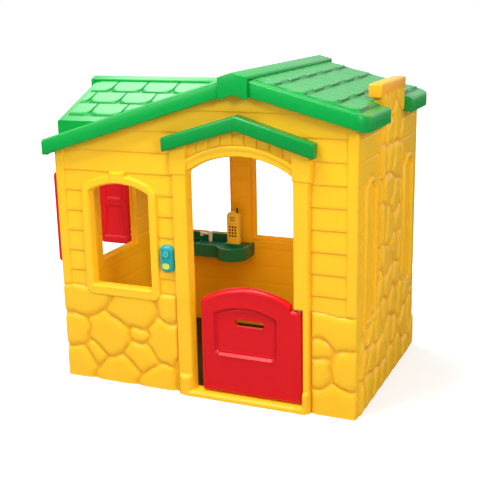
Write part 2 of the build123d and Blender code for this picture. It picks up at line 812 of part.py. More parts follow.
def bell_cover():
    """Oblong shell with a round hole for the button and a window for the lens."""
    back = bell_plane(-seat_gap)
    outer = extrude(back * RectangleRounded(bell_width, bell_height, bell_corner_radius), bell_depth)
    outer = fillet(outer.faces().sort_by(Axis.Y)[0].edges(), 5)
    inset = 2 * bell_shell
    inner = extrude(back * RectangleRounded(bell_width - inset, bell_height - inset,
                                            bell_corner_radius - bell_shell), bell_depth - bell_shell)
    shell = outer - inner
    hole = button_radius + button_side_gap
    shell -= extrude(back * Pos(0, button_height_above) * Circle(hole), bell_depth + 5)
    return shell - extrude(back * Pos(0, -lens_below) * RectangleRounded(lens_width, lens_height, 9), 40)


def bell_box():
    """Tray in the wall's pocket that holds the electronics."""
    half_w = bell_box_width / 2
    half_h = bell_box_height / 2
    tray = block(bell_x - half_w, bell_x + half_w, 0, bell_box_depth, bell_z - half_h, bell_z + half_h)
    wall = 2.0
    return tray - block(bell_x - half_w + wall, bell_x + half_w - wall, -1, bell_box_depth - wall,
                        bell_z - half_h + wall, bell_z + half_h - wall)


def board_front():
    """Y of the circuit board's outer face; it lies on the tray's floor."""
    return bell_box_depth - 2.0 - 0.3 - board_thickness


def bell_board():
    half_w = bell_box_width / 2 - board_inset
    half_h = bell_box_height / 2 - board_inset
    y = board_front()
    return block(bell_x - half_w, bell_x + half_w, y, y + board_thickness, bell_z - half_h, bell_z + half_h)


def bell_speaker():
    return rod(bell_x, board_front() - 0.3, bell_z - 22, speaker_radius, speaker_height, (0, -1, 0))


def bell_cells():
    cells = []
    for x in (-13.0, 0.0, 13.0):
        cells.append(rod(bell_x + x, board_front() - 0.3, bell_z, cell_radius, cell_height, (0, -1, 0)))
    return Compound(cells)


def bell_button():
    """Sprung push button with a flange that the cover keeps in."""
    back = bell_plane(-2.5)
    stem = extrude(back * Pos(0, button_height_above) * Circle(button_radius), bell_depth + button_proud - 2)
    stem = fillet(stem.faces().sort_by(Axis.Y)[0].edges(), 3)
    flange = extrude(back * Pos(0, button_height_above) * Circle(button_radius + 2.4), 2.5)
    socket = extrude(back * Pos(0, button_height_above) * Circle(spring_radius + spring_wire + 0.4),
                     button_socket)
    return stem + flange - socket


def bell_lens():
    """Light window, held behind the cover by its own flange."""
    front = bell_plane(-4)
    lens = extrude(front * Pos(0, -lens_below) * RectangleRounded(lens_width - 0.8, lens_height - 0.8, 8.6),
                   bell_depth - 2)
    inside = bell_depth - bell_shell - 0.3
    flange = extrude(bell_plane(-inside + 2 - seat_gap) * Pos(0, -lens_below)
                     * RectangleRounded(lens_width + 5, lens_height + 5, 9), 2)
    return lens + flange


def bell_spring():
    """Coil spring between the circuit board and the button."""
    start = board_front() - 0.3 - spring_wire
    end = -2.5 - button_socket + button_travel + 0.3 + spring_wire
    height = start - end
    path = Helix(height / spring_turns, height, spring_radius,
                 center=(bell_x, start, bell_z + button_height_above), direction=(0, -1, 0))
    section = Plane(origin=path @ 0, z_dir=path % 0) * Circle(spring_wire)
    return sweep(section, path=path, is_frenet=True)


# ---- kitchen shelf ---------------------------------------------------------------------------------------------------------------
def lobe_y():
    return inner_back - lobe_reach


def shelf_screw_places():
    return [(shelf_left + 40, shelf_top - 26), (300.0, shelf_top - 26), (lobe_x, shelf_top - 26)]


def shelf_screws():
    screws = []
    for x, z in shelf_screw_places():
        shank = rod(x, wall_depth + stone_relief, z, screw_radius, wall_thickness + stone_relief + 9, (0, -1, 0))
        head = rod(x, wall_depth + stone_relief, z, screw_head_radius, screw_head_height, (0, 1, 0))
        screws.append(shank + head)
    return Compound(screws)


def shelf_screw_holes():
    radius = screw_radius + screw_clearance
    length = wall_thickness + stone_relief + 11
    return Compound([rod(x, wall_depth + stone_relief + 1, z, radius, length, (0, -1, 0))
                     for x, z in shelf_screw_places()])


def kitchen_shelf():
    """Worktop with a round end, an upstand, a sink bowl and the phone cradle; open underneath."""
    back = inner_back - seat_gap
    low = shelf_top - shelf_height
    plan = Pos((shelf_left + lobe_x) / 2, back - shelf_depth / 2) * Rectangle(lobe_x - shelf_left, shelf_depth)
    plan += Pos(lobe_x, lobe_y()) * Circle(lobe_radius)
    plan -= Pos(lobe_x, back + lobe_radius) * Rectangle(4 * lobe_radius, 2 * lobe_radius)
    plan += Pos(lobe_x + lobe_radius / 2, back - lobe_reach / 2) * Rectangle(lobe_radius, lobe_reach)
    top = extrude(Pos(0, 0, low) * plan, shelf_height)
    inside = extrude(Pos(0, 0, low - 1) * offset(plan, amount=-shelf_skin), shelf_height - shelf_skin + 1)
    inside -= block(shelf_left, lobe_x + lobe_radius, back - 12, back, low - 1, shelf_top)
    bowl = Pos(sink_x, back - shelf_depth / 2, shelf_top - sink_depth) * Cylinder(
        sink_radius + 4, sink_depth, align=(Align.CENTER, Align.CENTER, Align.MIN))
    shelf = top - inside + bowl
    shelf -= Pos(sink_x, back - shelf_depth / 2, shelf_top - sink_depth + 4) * Cylinder(
        sink_radius, sink_depth, align=(Align.CENTER, Align.CENTER, Align.MIN))
    shelf += block(shelf_left, upstand_right, back - upstand_thickness, back,
                   shelf_top - 1, shelf_top + upstand_height)
    shelf += phone_cradle()
    post = rod(tap_x, back - tap_out, low, tap_radius, shelf_height - 1)
    shelf += post
    shelf -= rod(tap_x, back - tap_out, shelf_top - 22, 4 + pin_clearance, 40)
    shelf -= phone_pocket()
    return shelf - shelf_screw_holes()


def cradle_centre():
    return lobe_x + 10, lobe_y() - 4


def phone_cradle():
    """Block on the round end that holds the handset upright in its pocket."""
    x, y = cradle_centre()
    low = shelf_top - shelf_height + 6
    height = shelf_height - 6 + cradle_rise
    return Pos(x, y, low) * extrude(RectangleRounded(cradle_width, cradle_depth, 12), height)


def phone_pocket():
    x, y = cradle_centre()
    opening = RectangleRounded(phone_width + 2 * phone_gap, phone_thickness + 2 * phone_gap, 9)
    return Pos(x, y, shelf_top + cradle_rise - cradle_pocket) * extrude(opening, 2 * cradle_pocket)


def phone_foot():
    """Height of the handset's bottom when it stands in the cradle."""
    return shelf_top + cradle_rise - cradle_pocket + phone_gap


def phone_handset():
    x, y = cradle_centre()
    body = Pos(x, y, phone_foot()) * extrude(RectangleRounded(phone_width, phone_thickness, 8), phone_height)
    top_edges = body.edges().group_by(Axis.Z)[-1]
    body = fillet(top_edges, 6)
    for kx, kz in phone_key_places():
        body -= rod(kx, y - phone_thickness / 2 - 1, kz, key_radius + 0.15, 3, (0, 1, 0))
    return body - rod(x + 17, y, phone_foot() + phone_height - 6, antenna_radius + 0.15, 10)


def phone_key_places():
    x, _ = cradle_centre()
    base = phone_foot() + 60
    places = []
    for row in range(key_rows):
        for column in range(key_columns):
            places.append((x + (column - (key_columns - 1) / 2) * key_pitch, base + row * key_pitch))
    return places


def phone_keys():
    _, y = cradle_centre()
    return Compound([rod(kx, y - phone_thickness / 2 - key_proud, kz, key_radius, 3.3, (0, 1, 0))
                     for kx, kz in phone_key_places()])


def phone_antenna():
    x, y = cradle_centre()
    stub = rod(x + 17, y, phone_foot() + phone_height - 5.8, antenna_radius, antenna_height + 5.8)
    return fillet(stub.edges().group_by(Axis.Z)[-1], 2)


def tap():
    """Swivelling tap: stem in the shelf, body and a curved spout over the sink."""
    back = inner_back - seat_gap
    y = back - tap_out
    stem = rod(tap_x, y, shelf_top - 20, 4, 30)
    body = rod(tap_x, y, shelf_top + seat_gap, tap_radius, tap_height)
    body = fillet(body.edges().group_by(Axis.Z)[-1], 4)
    level = shelf_top + tap_height - 12
    spout = rod(tap_x, y, level, 6, tap_spout, (-1, 0, 0))
    tip = rod(tap_x - tap_spout + 2, y, level + 5.5, 6, 18, (0, 0, -1))
    return stem + body + spout + tip


# ---- build --------------------------------------------------------------------------------------------------------------------------
def build():
    near, far = shutter_axes()
    return {
        "front_wall": front_wall(),
        "back_wall": back_wall(),
        "left_wall": left_wall(),
        "right_wall": right_wall(),
        "wall_corner_pegs": corner_pegs(),
        "roof_left": roof_left(),
        "roof_right": roof_right(),
        "ridge_cap": ridge_cap(),
        "cross_gable_ridge_strip": cross_ridge_strip(),
        "door_awning": door_awning(),
        "awning_screws": awning_screws(),
        "chimney_cap": chimney_cap(),
        "door_leaf": door_leaf(),
        "door_hinge_pins": door_pins(),
        "shutter_front": shutter(near, 1),
        "shutter_rear": shutter(far, -1),
        "shutter_hinge_pins": shutter_pins(),
        "doorbell_cover": bell_cover(),
        "doorbell_box": bell_box(),
        "doorbell_circuit_board": bell_board(),
        "doorbell_speaker": bell_speaker(),
        "doorbell_cells": bell_cells(),
        "doorbell_button": bell_button(),
        "doorbell_lens": bell_lens(),
        "doorbell_spring": bell_spring(),
        "kitchen_shelf": kitchen_shelf(),
        "kitchen_shelf_screws": shelf_screws(),
        "kitchen_tap": tap(),
        "phone_handset": phone_handset(),
        "phone_keys": phone_keys(),
        "phone_antenna": phone_antenna(),
    }


def main():
    os.makedirs("parts", exist_ok=True)
    nodes = build()
    box = Compound([shape for shape in nodes.values()]).bounding_box()
    shift = Pos(-(box.min.X + box.max.X) / 2, -(box.min.Y + box.max.Y) / 2, -box.min.Z)
    for name, shape in nodes.items():
        export_step(shift * shape, f"parts/{name}.step")
    moved = shift.position
    print("shift", round(moved.X, 3), round(moved.Y, 3), round(moved.Z, 3))
    print("size", round(box.size.X, 2), round(box.size.Y, 2), round(box.size.Z, 2))
    axis_x, axis_y = door_axis()
    anchors = {"door": (axis_x, axis_y, threshold_height),
               "shutter_front": (-shutter_axis_offset, shutter_axes()[0], shutter_bottom),
               "shutter_rear": (-shutter_axis_offset, shutter_axes()[1], shutter_bottom),
               "tap": (tap_x, inner_back - seat_gap - tap_out, shelf_top),
               "button": (bell_x, -bell_depth, bell_z + button_height_above)}
    for name, (x, y, z) in anchors.items():
        print(name, round(x + moved.X, 3), round(y + moved.Y, 3), round(z + moved.Z, 3))


main()
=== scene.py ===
"""Looks of the plastic garden playhouse, built around its packed construction model.

Panels are drawn in house millimetres: X along the front from its left corner, Y from the front
wall's face to the back, Z up. HOUSE.place() turns them into the frame's metres.
"""

import logging
import math
from dataclasses import dataclass, field
from enum import Enum
from typing import Callable, Sequence

import bmesh
import bpy
import numpy as np
from mathutils import Matrix, Vector


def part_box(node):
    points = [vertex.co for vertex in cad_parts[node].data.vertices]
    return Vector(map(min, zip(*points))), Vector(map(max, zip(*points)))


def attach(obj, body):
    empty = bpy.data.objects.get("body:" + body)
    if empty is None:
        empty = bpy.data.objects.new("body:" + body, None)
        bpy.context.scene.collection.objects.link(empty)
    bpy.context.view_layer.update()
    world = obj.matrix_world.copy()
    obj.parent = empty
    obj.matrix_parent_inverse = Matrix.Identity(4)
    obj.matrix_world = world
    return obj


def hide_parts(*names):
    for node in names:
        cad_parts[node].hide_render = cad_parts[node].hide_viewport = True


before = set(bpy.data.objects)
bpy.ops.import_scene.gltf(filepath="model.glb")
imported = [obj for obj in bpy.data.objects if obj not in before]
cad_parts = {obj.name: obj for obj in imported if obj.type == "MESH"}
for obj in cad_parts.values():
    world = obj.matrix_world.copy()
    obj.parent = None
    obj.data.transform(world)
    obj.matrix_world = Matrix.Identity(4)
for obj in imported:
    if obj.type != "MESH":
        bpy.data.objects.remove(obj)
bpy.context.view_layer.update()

Grid = np.ndarray
Shape = Callable[[Grid, Grid], Grid]
Placing = Callable[[Grid, Grid, Grid], Grid]
Piece = bpy.types.Object

log = logging.getLogger("playhouse")


# ---- the house's own measures ----
@dataclass(frozen=True)
class House:
    """Driving sizes in millimetres, shared by every sub-assembly."""

    origin_x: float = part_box("front_wall")[0].x * 1000
    origin_y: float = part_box("back_wall")[1].y * 1000 - 794.0
    width: float = (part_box("front_wall")[1].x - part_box("front_wall")[0].x) * 1000
    depth: float = 786.0
    wall: float = 24.0
    board: float = 77.0
    board_line: float = 892.4
    stone_top: float = 372.0
    post: float = 40.0
    ridge_x: float = 747.0
    ridge_z: float = 1170.0
    left_eave: float = 935.0
    right_eave: float = 1058.0
    cross_ridge: float = 1117.0
    cross_fall: float = 0.43
    setback: float = 85.0
    riser: float = 18.0
    roof_drop: float = 20.4

    def main_roof(self, x: Grid) -> Grid:
        """Height of the main roof's top surface at x.

        Args:
            x: places along the front.
        Returns:
            The heights.
        """
        left = self.ridge_z + (self.left_eave - self.ridge_z) * (self.ridge_x - x) / self.ridge_x
        fall = (self.ridge_z - self.right_eave) / (self.width - self.ridge_x)
        return np.where(x <= self.ridge_x, left, self.ridge_z - fall * (x - self.ridge_x))

    def cross_roof(self, y: Grid) -> Grid:
        """Height of the cross gable's top surface at y."""
        return self.cross_ridge - self.cross_fall * np.abs(y - self.depth / 2)

    def place(self, x: Grid, y: Grid, z: Grid) -> Grid:
        """House millimetres to an array of points in the frame's metres."""
        x, y, z = np.broadcast_arrays(x, y, z)
        return np.stack([x + self.origin_x, y + self.origin_y, z], -1) / 1000


HOUSE = House()


class Face(Enum):
    """The wall face that a panel is drawn on, seen from outside."""

    FRONT = "front"
    BACK = "back"
    LEFT = "left"
    RIGHT = "right"


def placing(face: Face, base: float = 0.0) -> Placing:
    """How a panel's (along, up, out) lies on one of the walls.

    Args:
        face: the wall.
        base: distance of the panel's zero from that wall's outer face.
    Returns:
        A function from the three grids to points in metres.
    """
    h = HOUSE
    routes = {
        Face.FRONT: lambda u, v, out: h.place(u, -base - out, v),
        Face.BACK: lambda u, v, out: h.place(u, h.depth + base + out, v),
        Face.LEFT: lambda u, v, out: h.place(-base - out, u, v),
        Face.RIGHT: lambda u, v, out: h.place(h.width + base + out, u, v),
    }
    return routes[face]


# ---- shape functions: distance in millimetres, negative inside ----
def box_shape(u0: float, u1: float, v0: float, v1: float, radius: float = 0.0) -> Shape:
    """A rectangle with rounded corners.

    Args:
        u0, u1, v0, v1: its sides.
        radius: that of its corners.
    Returns:
        The distance to its edge as a function.
    """
    cu, cv, hu, hv = (u0 + u1) / 2, (v0 + v1) / 2, (u1 - u0) / 2 - radius, (v1 - v0) / 2 - radius

    def distance(u: Grid, v: Grid) -> Grid:
        """Distance to the rectangle's edge."""
        du, dv = np.abs(u - cu) - hu, np.abs(v - cv) - hv
        outside = np.hypot(np.maximum(du, 0), np.maximum(dv, 0))
        return outside + np.minimum(np.maximum(du, dv), 0) - radius

    return distance


def arch_radius(width: float, rise: float) -> float:
    """Radius of the circular arc over a width, rising that far in its middle."""
    return (width * width / 4 + rise * rise) / (2 * rise)


def arch_height(u: Grid, centre: float, width: float, spring: float, apex: float) -> Grid:
    """Height of a circular arch's line above its spring."""
    radius = arch_radius(width, apex - spring)
    return apex - radius + np.sqrt(np.maximum(radius * radius - (u - centre) ** 2, 0))


def arch_shape(centre: float, width: float, bottom: float, spring: float, apex: float,
               radius: float = 0.0) -> Shape:
    """An upright opening with a round-topped head and lower corners of a radius.

    Args:
        centre, width: its middle and width.
        bottom, spring, apex: its foot, the start of its arch and its top.
        radius: that of the lower corners.
    Returns:
        The distance to its edge as a function.
    """
    big = arch_radius(width, apex - spring)
    sides = box_shape(centre - width / 2, centre + width / 2, bottom, apex + 4 * radius + 40, radius)

    def distance(u: Grid, v: Grid) -> Grid:
        """Distance to the opening's edge."""
        head = np.hypot(u - centre, np.maximum(v - (apex - big), 0)) - big
        return np.maximum(head, sides(u, v))

    return distance


def quarter_round(share: Grid) -> Grid:
    """Height along a quarter circle: 0 up to a share of 0, and 1 from a share of 1."""
    return np.sqrt(1 - (1 - np.clip(share, 0, 1)) ** 2)


def half_round(across: Grid, reach: float) -> Grid:
    """Height of a half-round bead, 1 along its middle and 0 beyond its reach."""
    return np.sqrt(np.clip(1 - (across / reach) ** 2, 0, 1))


def ridge(across: Grid, reach: float) -> Grid:
    """Height of a soft ridge, 1 along its middle and fading out past its reach."""
    return np.exp(-(across / reach) ** 2)


def raised(distance: Grid, height: float, edge: float) -> Grid:
    """Height of a raised area with a round edge, from the distance to its outline."""
    return height * quarter_round(-distance / edge)


def rounding(distance: Grid, radius: float) -> Grid:
    """How much a rounded edge takes off at a distance inside it."""
    return radius * (1 - quarter_round(distance / radius))


def smooth_max(a: Grid, b: Grid, softness: float) -> Grid:
    """The larger of two distances, blended where they meet so that corners turn round."""
    share = np.clip(0.5 + 0.5 * (a - b) / softness, 0, 1)
    return b + (a - b) * share + softness * share * (1 - share)


def grid_lines(spans: Sequence[tuple], marks: Sequence[float] = ()) -> Grid:
    """Grid lines over a row of spans.

    Args:
        spans: (start, end, step) for each stretch, end to end.
        marks: places that get a line of their own.
    Returns:
        The sorted lines.
    """
    low, high = spans[0][0], spans[-1][1]
    fixed = sorted({low, high, *[s[0] for s in spans], *[m for m in marks if low < m < high]})
    lines = []
    for a, b in zip(fixed, fixed[1:]):
        step = next(s[2] for s in spans if s[0] <= (a + b) / 2 <= s[1])
        lines.extend(np.linspace(a, b, max(1, round((b - a) / step)), endpoint=False))
    return np.array([*lines, high])


def around(places: Sequence[float], offsets: Sequence[float]) -> list:
    """Each place plus each offset."""
    return [p + o for p in places for o in offsets]


# ---- mesh makers ----
def new_object(name: str, verts: Sequence, faces: Sequence, finish: "Finish", sharp: float = 40.0,
               painted_groove_shade: Grid | None = None) -> Piece:
    """A smooth-shaded object with its finish and its attribute of painted shade in creases.

    Args:
        name: the piece's name.
        verts, faces: its mesh, in metres.
        finish: its material.
        sharp: the bend in degrees that stays crisp.
        painted_groove_shade: depth of crease at each vertex, which deepens the colour as painted shade, if it
            has any.
    Returns:
        The object.
    """
    mesh = bpy.data.meshes.new(name)
    mesh.from_pydata(verts, [], faces)
    mesh.validate()
    mesh.polygons.foreach_set("use_smooth", [True] * len(mesh.polygons))
    mesh.set_sharp_from_angle(angle=math.radians(sharp))
    values = np.zeros(len(mesh.vertices), np.float32)
    if painted_groove_shade is not None and len(painted_groove_shade) == len(values):
        values = painted_groove_shade.astype(np.float32)
    # Painted shade: this per-vertex value deepens the colour in creases and joints, where shade falls.
    mesh.attributes.new("painted_groove_shade", "FLOAT", "POINT").data.foreach_set("value", values)
    obj = bpy.data.objects.new(name, mesh)
    bpy.context.scene.collection.objects.link(obj)
    obj.data.materials.append(finish.material())
    return obj


def settle(obj: Piece, body: str, slot: str, *nodes: str) -> Piece:
    """Rides the piece on its body and hides the nodes it stands for.

    Args:
        obj: the piece.
        body: the body it rides on.
        slot: its material slot; not used.
        nodes: the construction nodes it stands for.
    Returns:
        The same piece.
    """
    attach(obj, body)
    if nodes:
        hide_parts(*nodes)
    log.info("%s rides on %s", obj.name, body)
    return obj


@dataclass
class Sheet:
    """A moulded sheet drawn as a grid: an outer face, an inner face and a rim between them."""

    us: Grid
    vs: Grid
    outer: Shape
    inner: Shape
    place: Placing
    holes: list = field(default_factory=list)
    outline: Shape | None = None
    rim: list = field(default_factory=list)
    warp: Callable | None = None
    # Painted shade: how much the colour deepens in the creases and joints, where shade falls.
    painted_groove_shade: Shape | None = None

    def kept_cells(self) -> tuple:
        """The cells that are material, and the ones each hole removes.

        Returns:
            The mask of kept cells, and one mask for each shape.
        """
        cu, cv = np.meshgrid((self.us[1:] + self.us[:-1]) / 2, (self.vs[1:] + self.vs[:-1]) / 2,
                             indexing="ij")
        removed = [hole(cu, cv) < 0 for hole in self.holes]
        if self.outline is not None:
            removed.append(self.outline(cu, cv) > 0)
        keep = np.ones(cu.shape, bool)
        for cells in removed:
            keep &= ~cells
        return keep, removed

    @staticmethod
    def touching(cells: Grid) -> Grid:
        """Grid points that touch any of the cells.

        Args:
            cells: a mask of the grid's cells.
        Returns:
            A mask of the grid's points.
        """
        found = np.zeros((cells.shape[0] + 1, cells.shape[1] + 1), bool)
        for du in (0, 1):
            for dv in (0, 1):
                found[du:du + cells.shape[0], dv:dv + cells.shape[1]] |= cells
        return found

    def snapped(self, u: Grid, v: Grid, keep: Grid, removed: list) -> tuple:
        """Moves the points beside a hole onto its outline.

        Args:
            u, v: the grid's points, changed in place.
            keep: the cells that are material.
            removed: the cells that each shape takes away.
        Returns:
            The moved points.
        """
        shapes = list(self.holes) + ([self.outline] if self.outline is not None else [])
        near = self.touching(keep)
        for shape, cells in zip(shapes, removed):
            on = near & self.touching(cells)
            for _ in range(2):
                pu, pv = u[on], v[on]
                d = shape(pu, pv)
                gu = shape(pu + 0.05, pv) - shape(pu - 0.05, pv)
                gv = shape(pu, pv + 0.05) - shape(pu, pv - 0.05)
                size = np.maximum(np.hypot(gu, gv), 1e-9)
                u[on] = pu - d * gu / size
                v[on] = pv - d * gv / size
        return u, v

    def build(self, name: str, finish: "Finish", sharp: float = 40.0) -> Piece:
        """Makes the mesh and its object.

        Args:
            name: the piece's name.
            finish: its material.
            sharp: the bend in degrees that stays crisp.
        Returns:
            The object.
        """
        keep, removed = self.kept_cells()
        u, v = np.meshgrid(self.us, self.vs, indexing="ij")
        u, v = self.snapped(u.copy(), v.copy(), keep, removed)
        high, low = self.outer(u, v), self.inner(u, v)
        # Painted shade in the creases, per vertex of the outer face; the inner face and the rim get none.
        depth = self.painted_groove_shade(u, v) if self.painted_groove_shade is not None else np.zeros(u.shape)
        if self.warp is not None:
            u, v = self.warp(u, v)
        used = self.touching(keep)
        index = np.full(u.shape, -1)
        index[used] = np.arange(used.sum())
        count = int(used.sum())
        pu, pv, ph, pl = u[used], v[used], high[used], low[used]
        verts = [self.place(pu, pv, ph), self.place(pu, pv, pl)]
        groove_shades = [depth[used], np.zeros(count)]
        quads = np.stack([index[:-1, :-1][keep], index[1:, :-1][keep], index[1:, 1:][keep],
                          index[:-1, 1:][keep]], -1)
        faces = [quads, quads[:, ::-1] + count]
        start, end = self.border(keep, index)
        total = 2 * count
        last_start, last_end = start, end
        if self.rim:
            unique, normal = self.border_normals(start, end, pu, pv)
            slot = np.full(count, -1)
            for out, base, lift in self.rim:
                ru, rv = pu[unique] + out * normal[:, 0], pv[unique] + out * normal[:, 1]
                level = (ph if base == 0 else pl)[unique] + lift
                verts.append(self.place(ru, rv, level))
                groove_shades.append(np.zeros(len(unique)))
                slot[unique] = np.arange(len(unique)) + total
                total += len(unique)
                ring_start, ring_end = slot[start], slot[end]
                faces.append(np.stack([last_end, last_start, ring_start, ring_end], -1))
                last_start, last_end = ring_start, ring_end
        faces.append(np.stack([last_end, last_start, start + count, end + count], -1))
        made = new_object(name, np.concatenate(verts).tolist(), np.concatenate(faces).tolist(), finish,
                          sharp, np.concatenate(groove_shades))
        return face_outwards(made)

    @staticmethod
    def border(keep: Grid, index: Grid) -> tuple:
        """Directed border edges of the kept cells, as start and end vertex numbers.

        Args:
            keep: the cells that are material.
            index: each point's vertex number.
        Returns:
            The starts and the ends.
        """
        padded = np.pad(keep, 1)
        sides = ((padded[1:-1, :-2], (0, 0), (1, 0)), (padded[2:, 1:-1], (1, 0), (1, 1)),
                 (padded[1:-1, 2:], (1, 1), (0, 1)), (padded[:-2, 1:-1], (0, 1), (0, 0)))
        start, end = [], []
        for neighbour, a, b in sides:
            i, j = np.nonzero(keep & ~neighbour)
            start.append(index[i + a[0], j + a[1]])
            end.append(index[i + b[0], j + b[1]])
        return np.concatenate(start), np.concatenate(end)

    @staticmethod
    def border_normals(start: Grid, end: Grid, pu: Grid, pv: Grid) -> tuple:
        """Unique border vertices and their outward mitred normals.

        Args:
            start, end: the border's edges.
            pu, pv: the vertices' places.
        Returns:
            The vertices and their normals.
        """
        du, dv = pu[end] - pu[start], pv[end] - pv[start]
        size = np.maximum(np.hypot(du, dv), 1e-9)
        edge = np.stack([dv / size, -du / size], -1)
        total = np.zeros((len(pu), 2))
        np.add.at(total, start, edge)
        np.add.at(total, end, edge)
        unique = np.unique(np.concatenate([start, end]))
        normal = total[unique]
        length = np.maximum(np.linalg.norm(normal, axis=1, keepdims=True), 1e-9)
        mitre = np.clip(2.0 / length, 1.0, 1.5)
        return unique, normal / length * mitre


def face_outwards(obj: Piece) -> Piece:
    """Turns every face of a closed mesh outwards.

    Args:
        obj: the piece.
    Returns:
        The same piece.
    """
    work = bmesh.new()
    work.from_mesh(obj.data)
    bmesh.ops.recalc_face_normals(work, faces=work.faces)
    if work.calc_volume(signed=True) < 0:
        bmesh.ops.reverse_faces(work, faces=work.faces)
    work.to_mesh(obj.data)
    work.free()
    return obj


def swept(name: str, path: Sequence[tuple], profile: Sequence[tuple], place: Placing,
          finish: "Finish", closed: bool = True, sharp: float = 50.0) -> Piece:
    """A moulding with one section carried along a line.

    Args:
        name: the piece's name.
        path: points (u, v), running so that the outside is on their right.
        profile: the closed section as (out from the path, height).
        place: how the wall's coordinates lie.
        finish: the material.
        closed: whether the path closes on itself.
        sharp: the bend in degrees that stays crisp.
    Returns:
        The object.
    """
    points = np.array(path, float)
    ahead = np.roll(points, -1, 0) - points
    behind = points - np.roll(points, 1, 0)
    if not closed:
        ahead[-1], behind[0] = behind[-1], ahead[0]
    ahead /= np.linalg.norm(ahead, axis=1, keepdims=True)
    behind /= np.linalg.norm(behind, axis=1, keepdims=True)
    side = np.stack([ahead[:, 1] + behind[:, 1], -ahead[:, 0] - behind[:, 0]], -1)
    length = np.linalg.norm(side, axis=1, keepdims=True)
    side = side / length * np.clip(2 / length, 1, 1.6)
    section = np.array(profile, float)
    n, m = len(points), len(section)
    u = points[:, None, 0] + section[None, :, 0] * side[:, None, 0]
    v = points[:, None, 1] + section[None, :, 0] * side[:, None, 1]
    out = np.broadcast_to(section[None, :, 1], u.shape)
    verts = place(u, v, out).reshape(-1, 3)
    faces = []
    for i in range(n if closed else n - 1):
        k = (i + 1) % n
        for j in range(m):
            w = (j + 1) % m
            faces.append([i * m + j, k * m + j, k * m + w, i * m + w])
    if not closed:
        faces.append(list(range(m)))
        faces.append([(n - 1) * m + j for j in reversed(range(m))])
    return face_outwards(new_object(name, verts.tolist(), faces, finish, sharp))


def plate(name: str, outline: Sequence[tuple], low: float, high: float, place: Placing,
          finish: "Finish", bevel: float = 4.0, segments: int = 4) -> Piece:
    """A solid board with rounded edges.

    Args:
        name: the piece's name.
        outline: its corner points (u, v).
        low, high: its two faces, out from the wall.
        place: how the wall's coordinates lie.
        finish: the material.
        bevel: edge radius in millimetres.
        segments: facets of each rounded edge.
    Returns:
        The object.
    """
    work = bmesh.new()
    u, v = np.array(outline, float).T
    ring = [work.verts.new(p) for p in place(u, v, np.full(len(u), low))]
    base = work.faces.new(ring)
    grown = bmesh.ops.extrude_face_region(work, geom=[base])
    shift = place(u[:1], v[:1], np.array([high]))[0] - place(u[:1], v[:1], np.array([low]))[0]
    top = [g for g in grown["geom"] if isinstance(g, bmesh.types.BMVert)]
    bmesh.ops.translate(work, vec=Vector(shift), verts=top)
    bmesh.ops.recalc_face_normals(work, faces=work.faces)
    edges = [e for e in work.edges if e.calc_face_angle(0) > math.radians(24)]
    bmesh.ops.bevel(work, geom=edges, offset=bevel / 1000, segments=segments, profile=0.5, affect="EDGES",
                    clamp_overlap=True)
    return from_bmesh(name, work, finish)


def from_bmesh(name: str, work: bmesh.types.BMesh, finish: "Finish", sharp: float = 40.0) -> Piece:
    """Turns a bmesh into a finished object and frees it.

    Args:
        name: the piece's name.
        work: its mesh.
        finish: its material.
        sharp: the bend in degrees that stays crisp.
    Returns:
        The object.
    """
    work.verts.index_update()
    verts = [v.co[:] for v in work.verts]
    faces = [[v.index for v in f.verts] for f in work.faces]
    work.free()
    return face_outwards(new_object(name, verts, faces, finish, sharp))


def joined(name: str, parts: Sequence[Piece]) -> Piece:
    """Joins several meshes of one moulding into one object.

    Args:
        name: the name of the whole.
        parts: its meshes.
    Returns:
        The object.
    """
    with bpy.context.temp_override(active_object=parts[0], selected_editable_objects=list(parts)):
        bpy.ops.object.join()
    parts[0].name = name
    return parts[0]


def arc_points(centre: tuple, radius: float, start: float, end: float, count: int) -> list:
    """Points along a circular arc, its angles in degrees."""
    return [(centre[0] + radius * math.cos(math.radians(a)), centre[1] + radius * math.sin(math.radians(a)))
            for a in np.linspace(start, end, count)]


def arch_path(centre: float, width: float, bottom: float, spring: float, apex: float,
              count: int = 40) -> list:
    """Outline of an arched opening, clockwise from its lower right corner.

    Args:
        centre, width: its middle and width.
        bottom, spring, apex: its foot, the start of its arch and its top.
        count: how many points the arch has.
    Returns:
        Its points.
    """
    left, right = centre - width / 2, centre + width / 2
    us = np.linspace(left, right, count)
    head = [(u, float(arch_height(u, centre, width, spring, apex))) for u in us]
    return [(right, bottom), (left, bottom), *head]


def round_profile(width: float, height: float, radius: float, depth: float, foot: float = -1.0) -> list:
    """Section of a raised frame: jamb, rounded inner edge, face, rounded outer edge.

    Args:
        width, height: of the frame's face.
        radius: that of its edges.
        depth: how far the jamb reaches into the wall.
        foot: where its outer side ends.
    Returns:
        The section's points.
    """
    inner = [(radius - radius * math.cos(t), height - radius + radius * math.sin(t))
             for t in np.linspace(0, math.pi / 2, 6)]
    outer = [(width - radius + radius * math.sin(t), height - radius + radius * math.cos(t))
             for t in np.linspace(0, math.pi / 2, 6)]
    return [(-0.3, -depth), (-0.3, height - radius), *inner[1:], *outer[:-1], (width, height - radius),
            (width, foot), (4.0, foot - 1), (4.0, -depth)]


# ---- materials ----
def linked(tree: bpy.types.NodeTree, kind: str, **values: object) -> bpy.types.Node:
    """A new node with its properties and unlinked inputs set.

    Args:
        tree: the node tree.
        kind: the node's type.
        values: properties and inputs, with spaces written as underscores.
    Returns:
        The node.
    """
    node = tree.nodes.new(kind)
    for name, value in values.items():
        if hasattr(node, name):
            setattr(node, name, value)
        else:
            node.inputs[name.replace("_", " ")].default_value = value
    return node


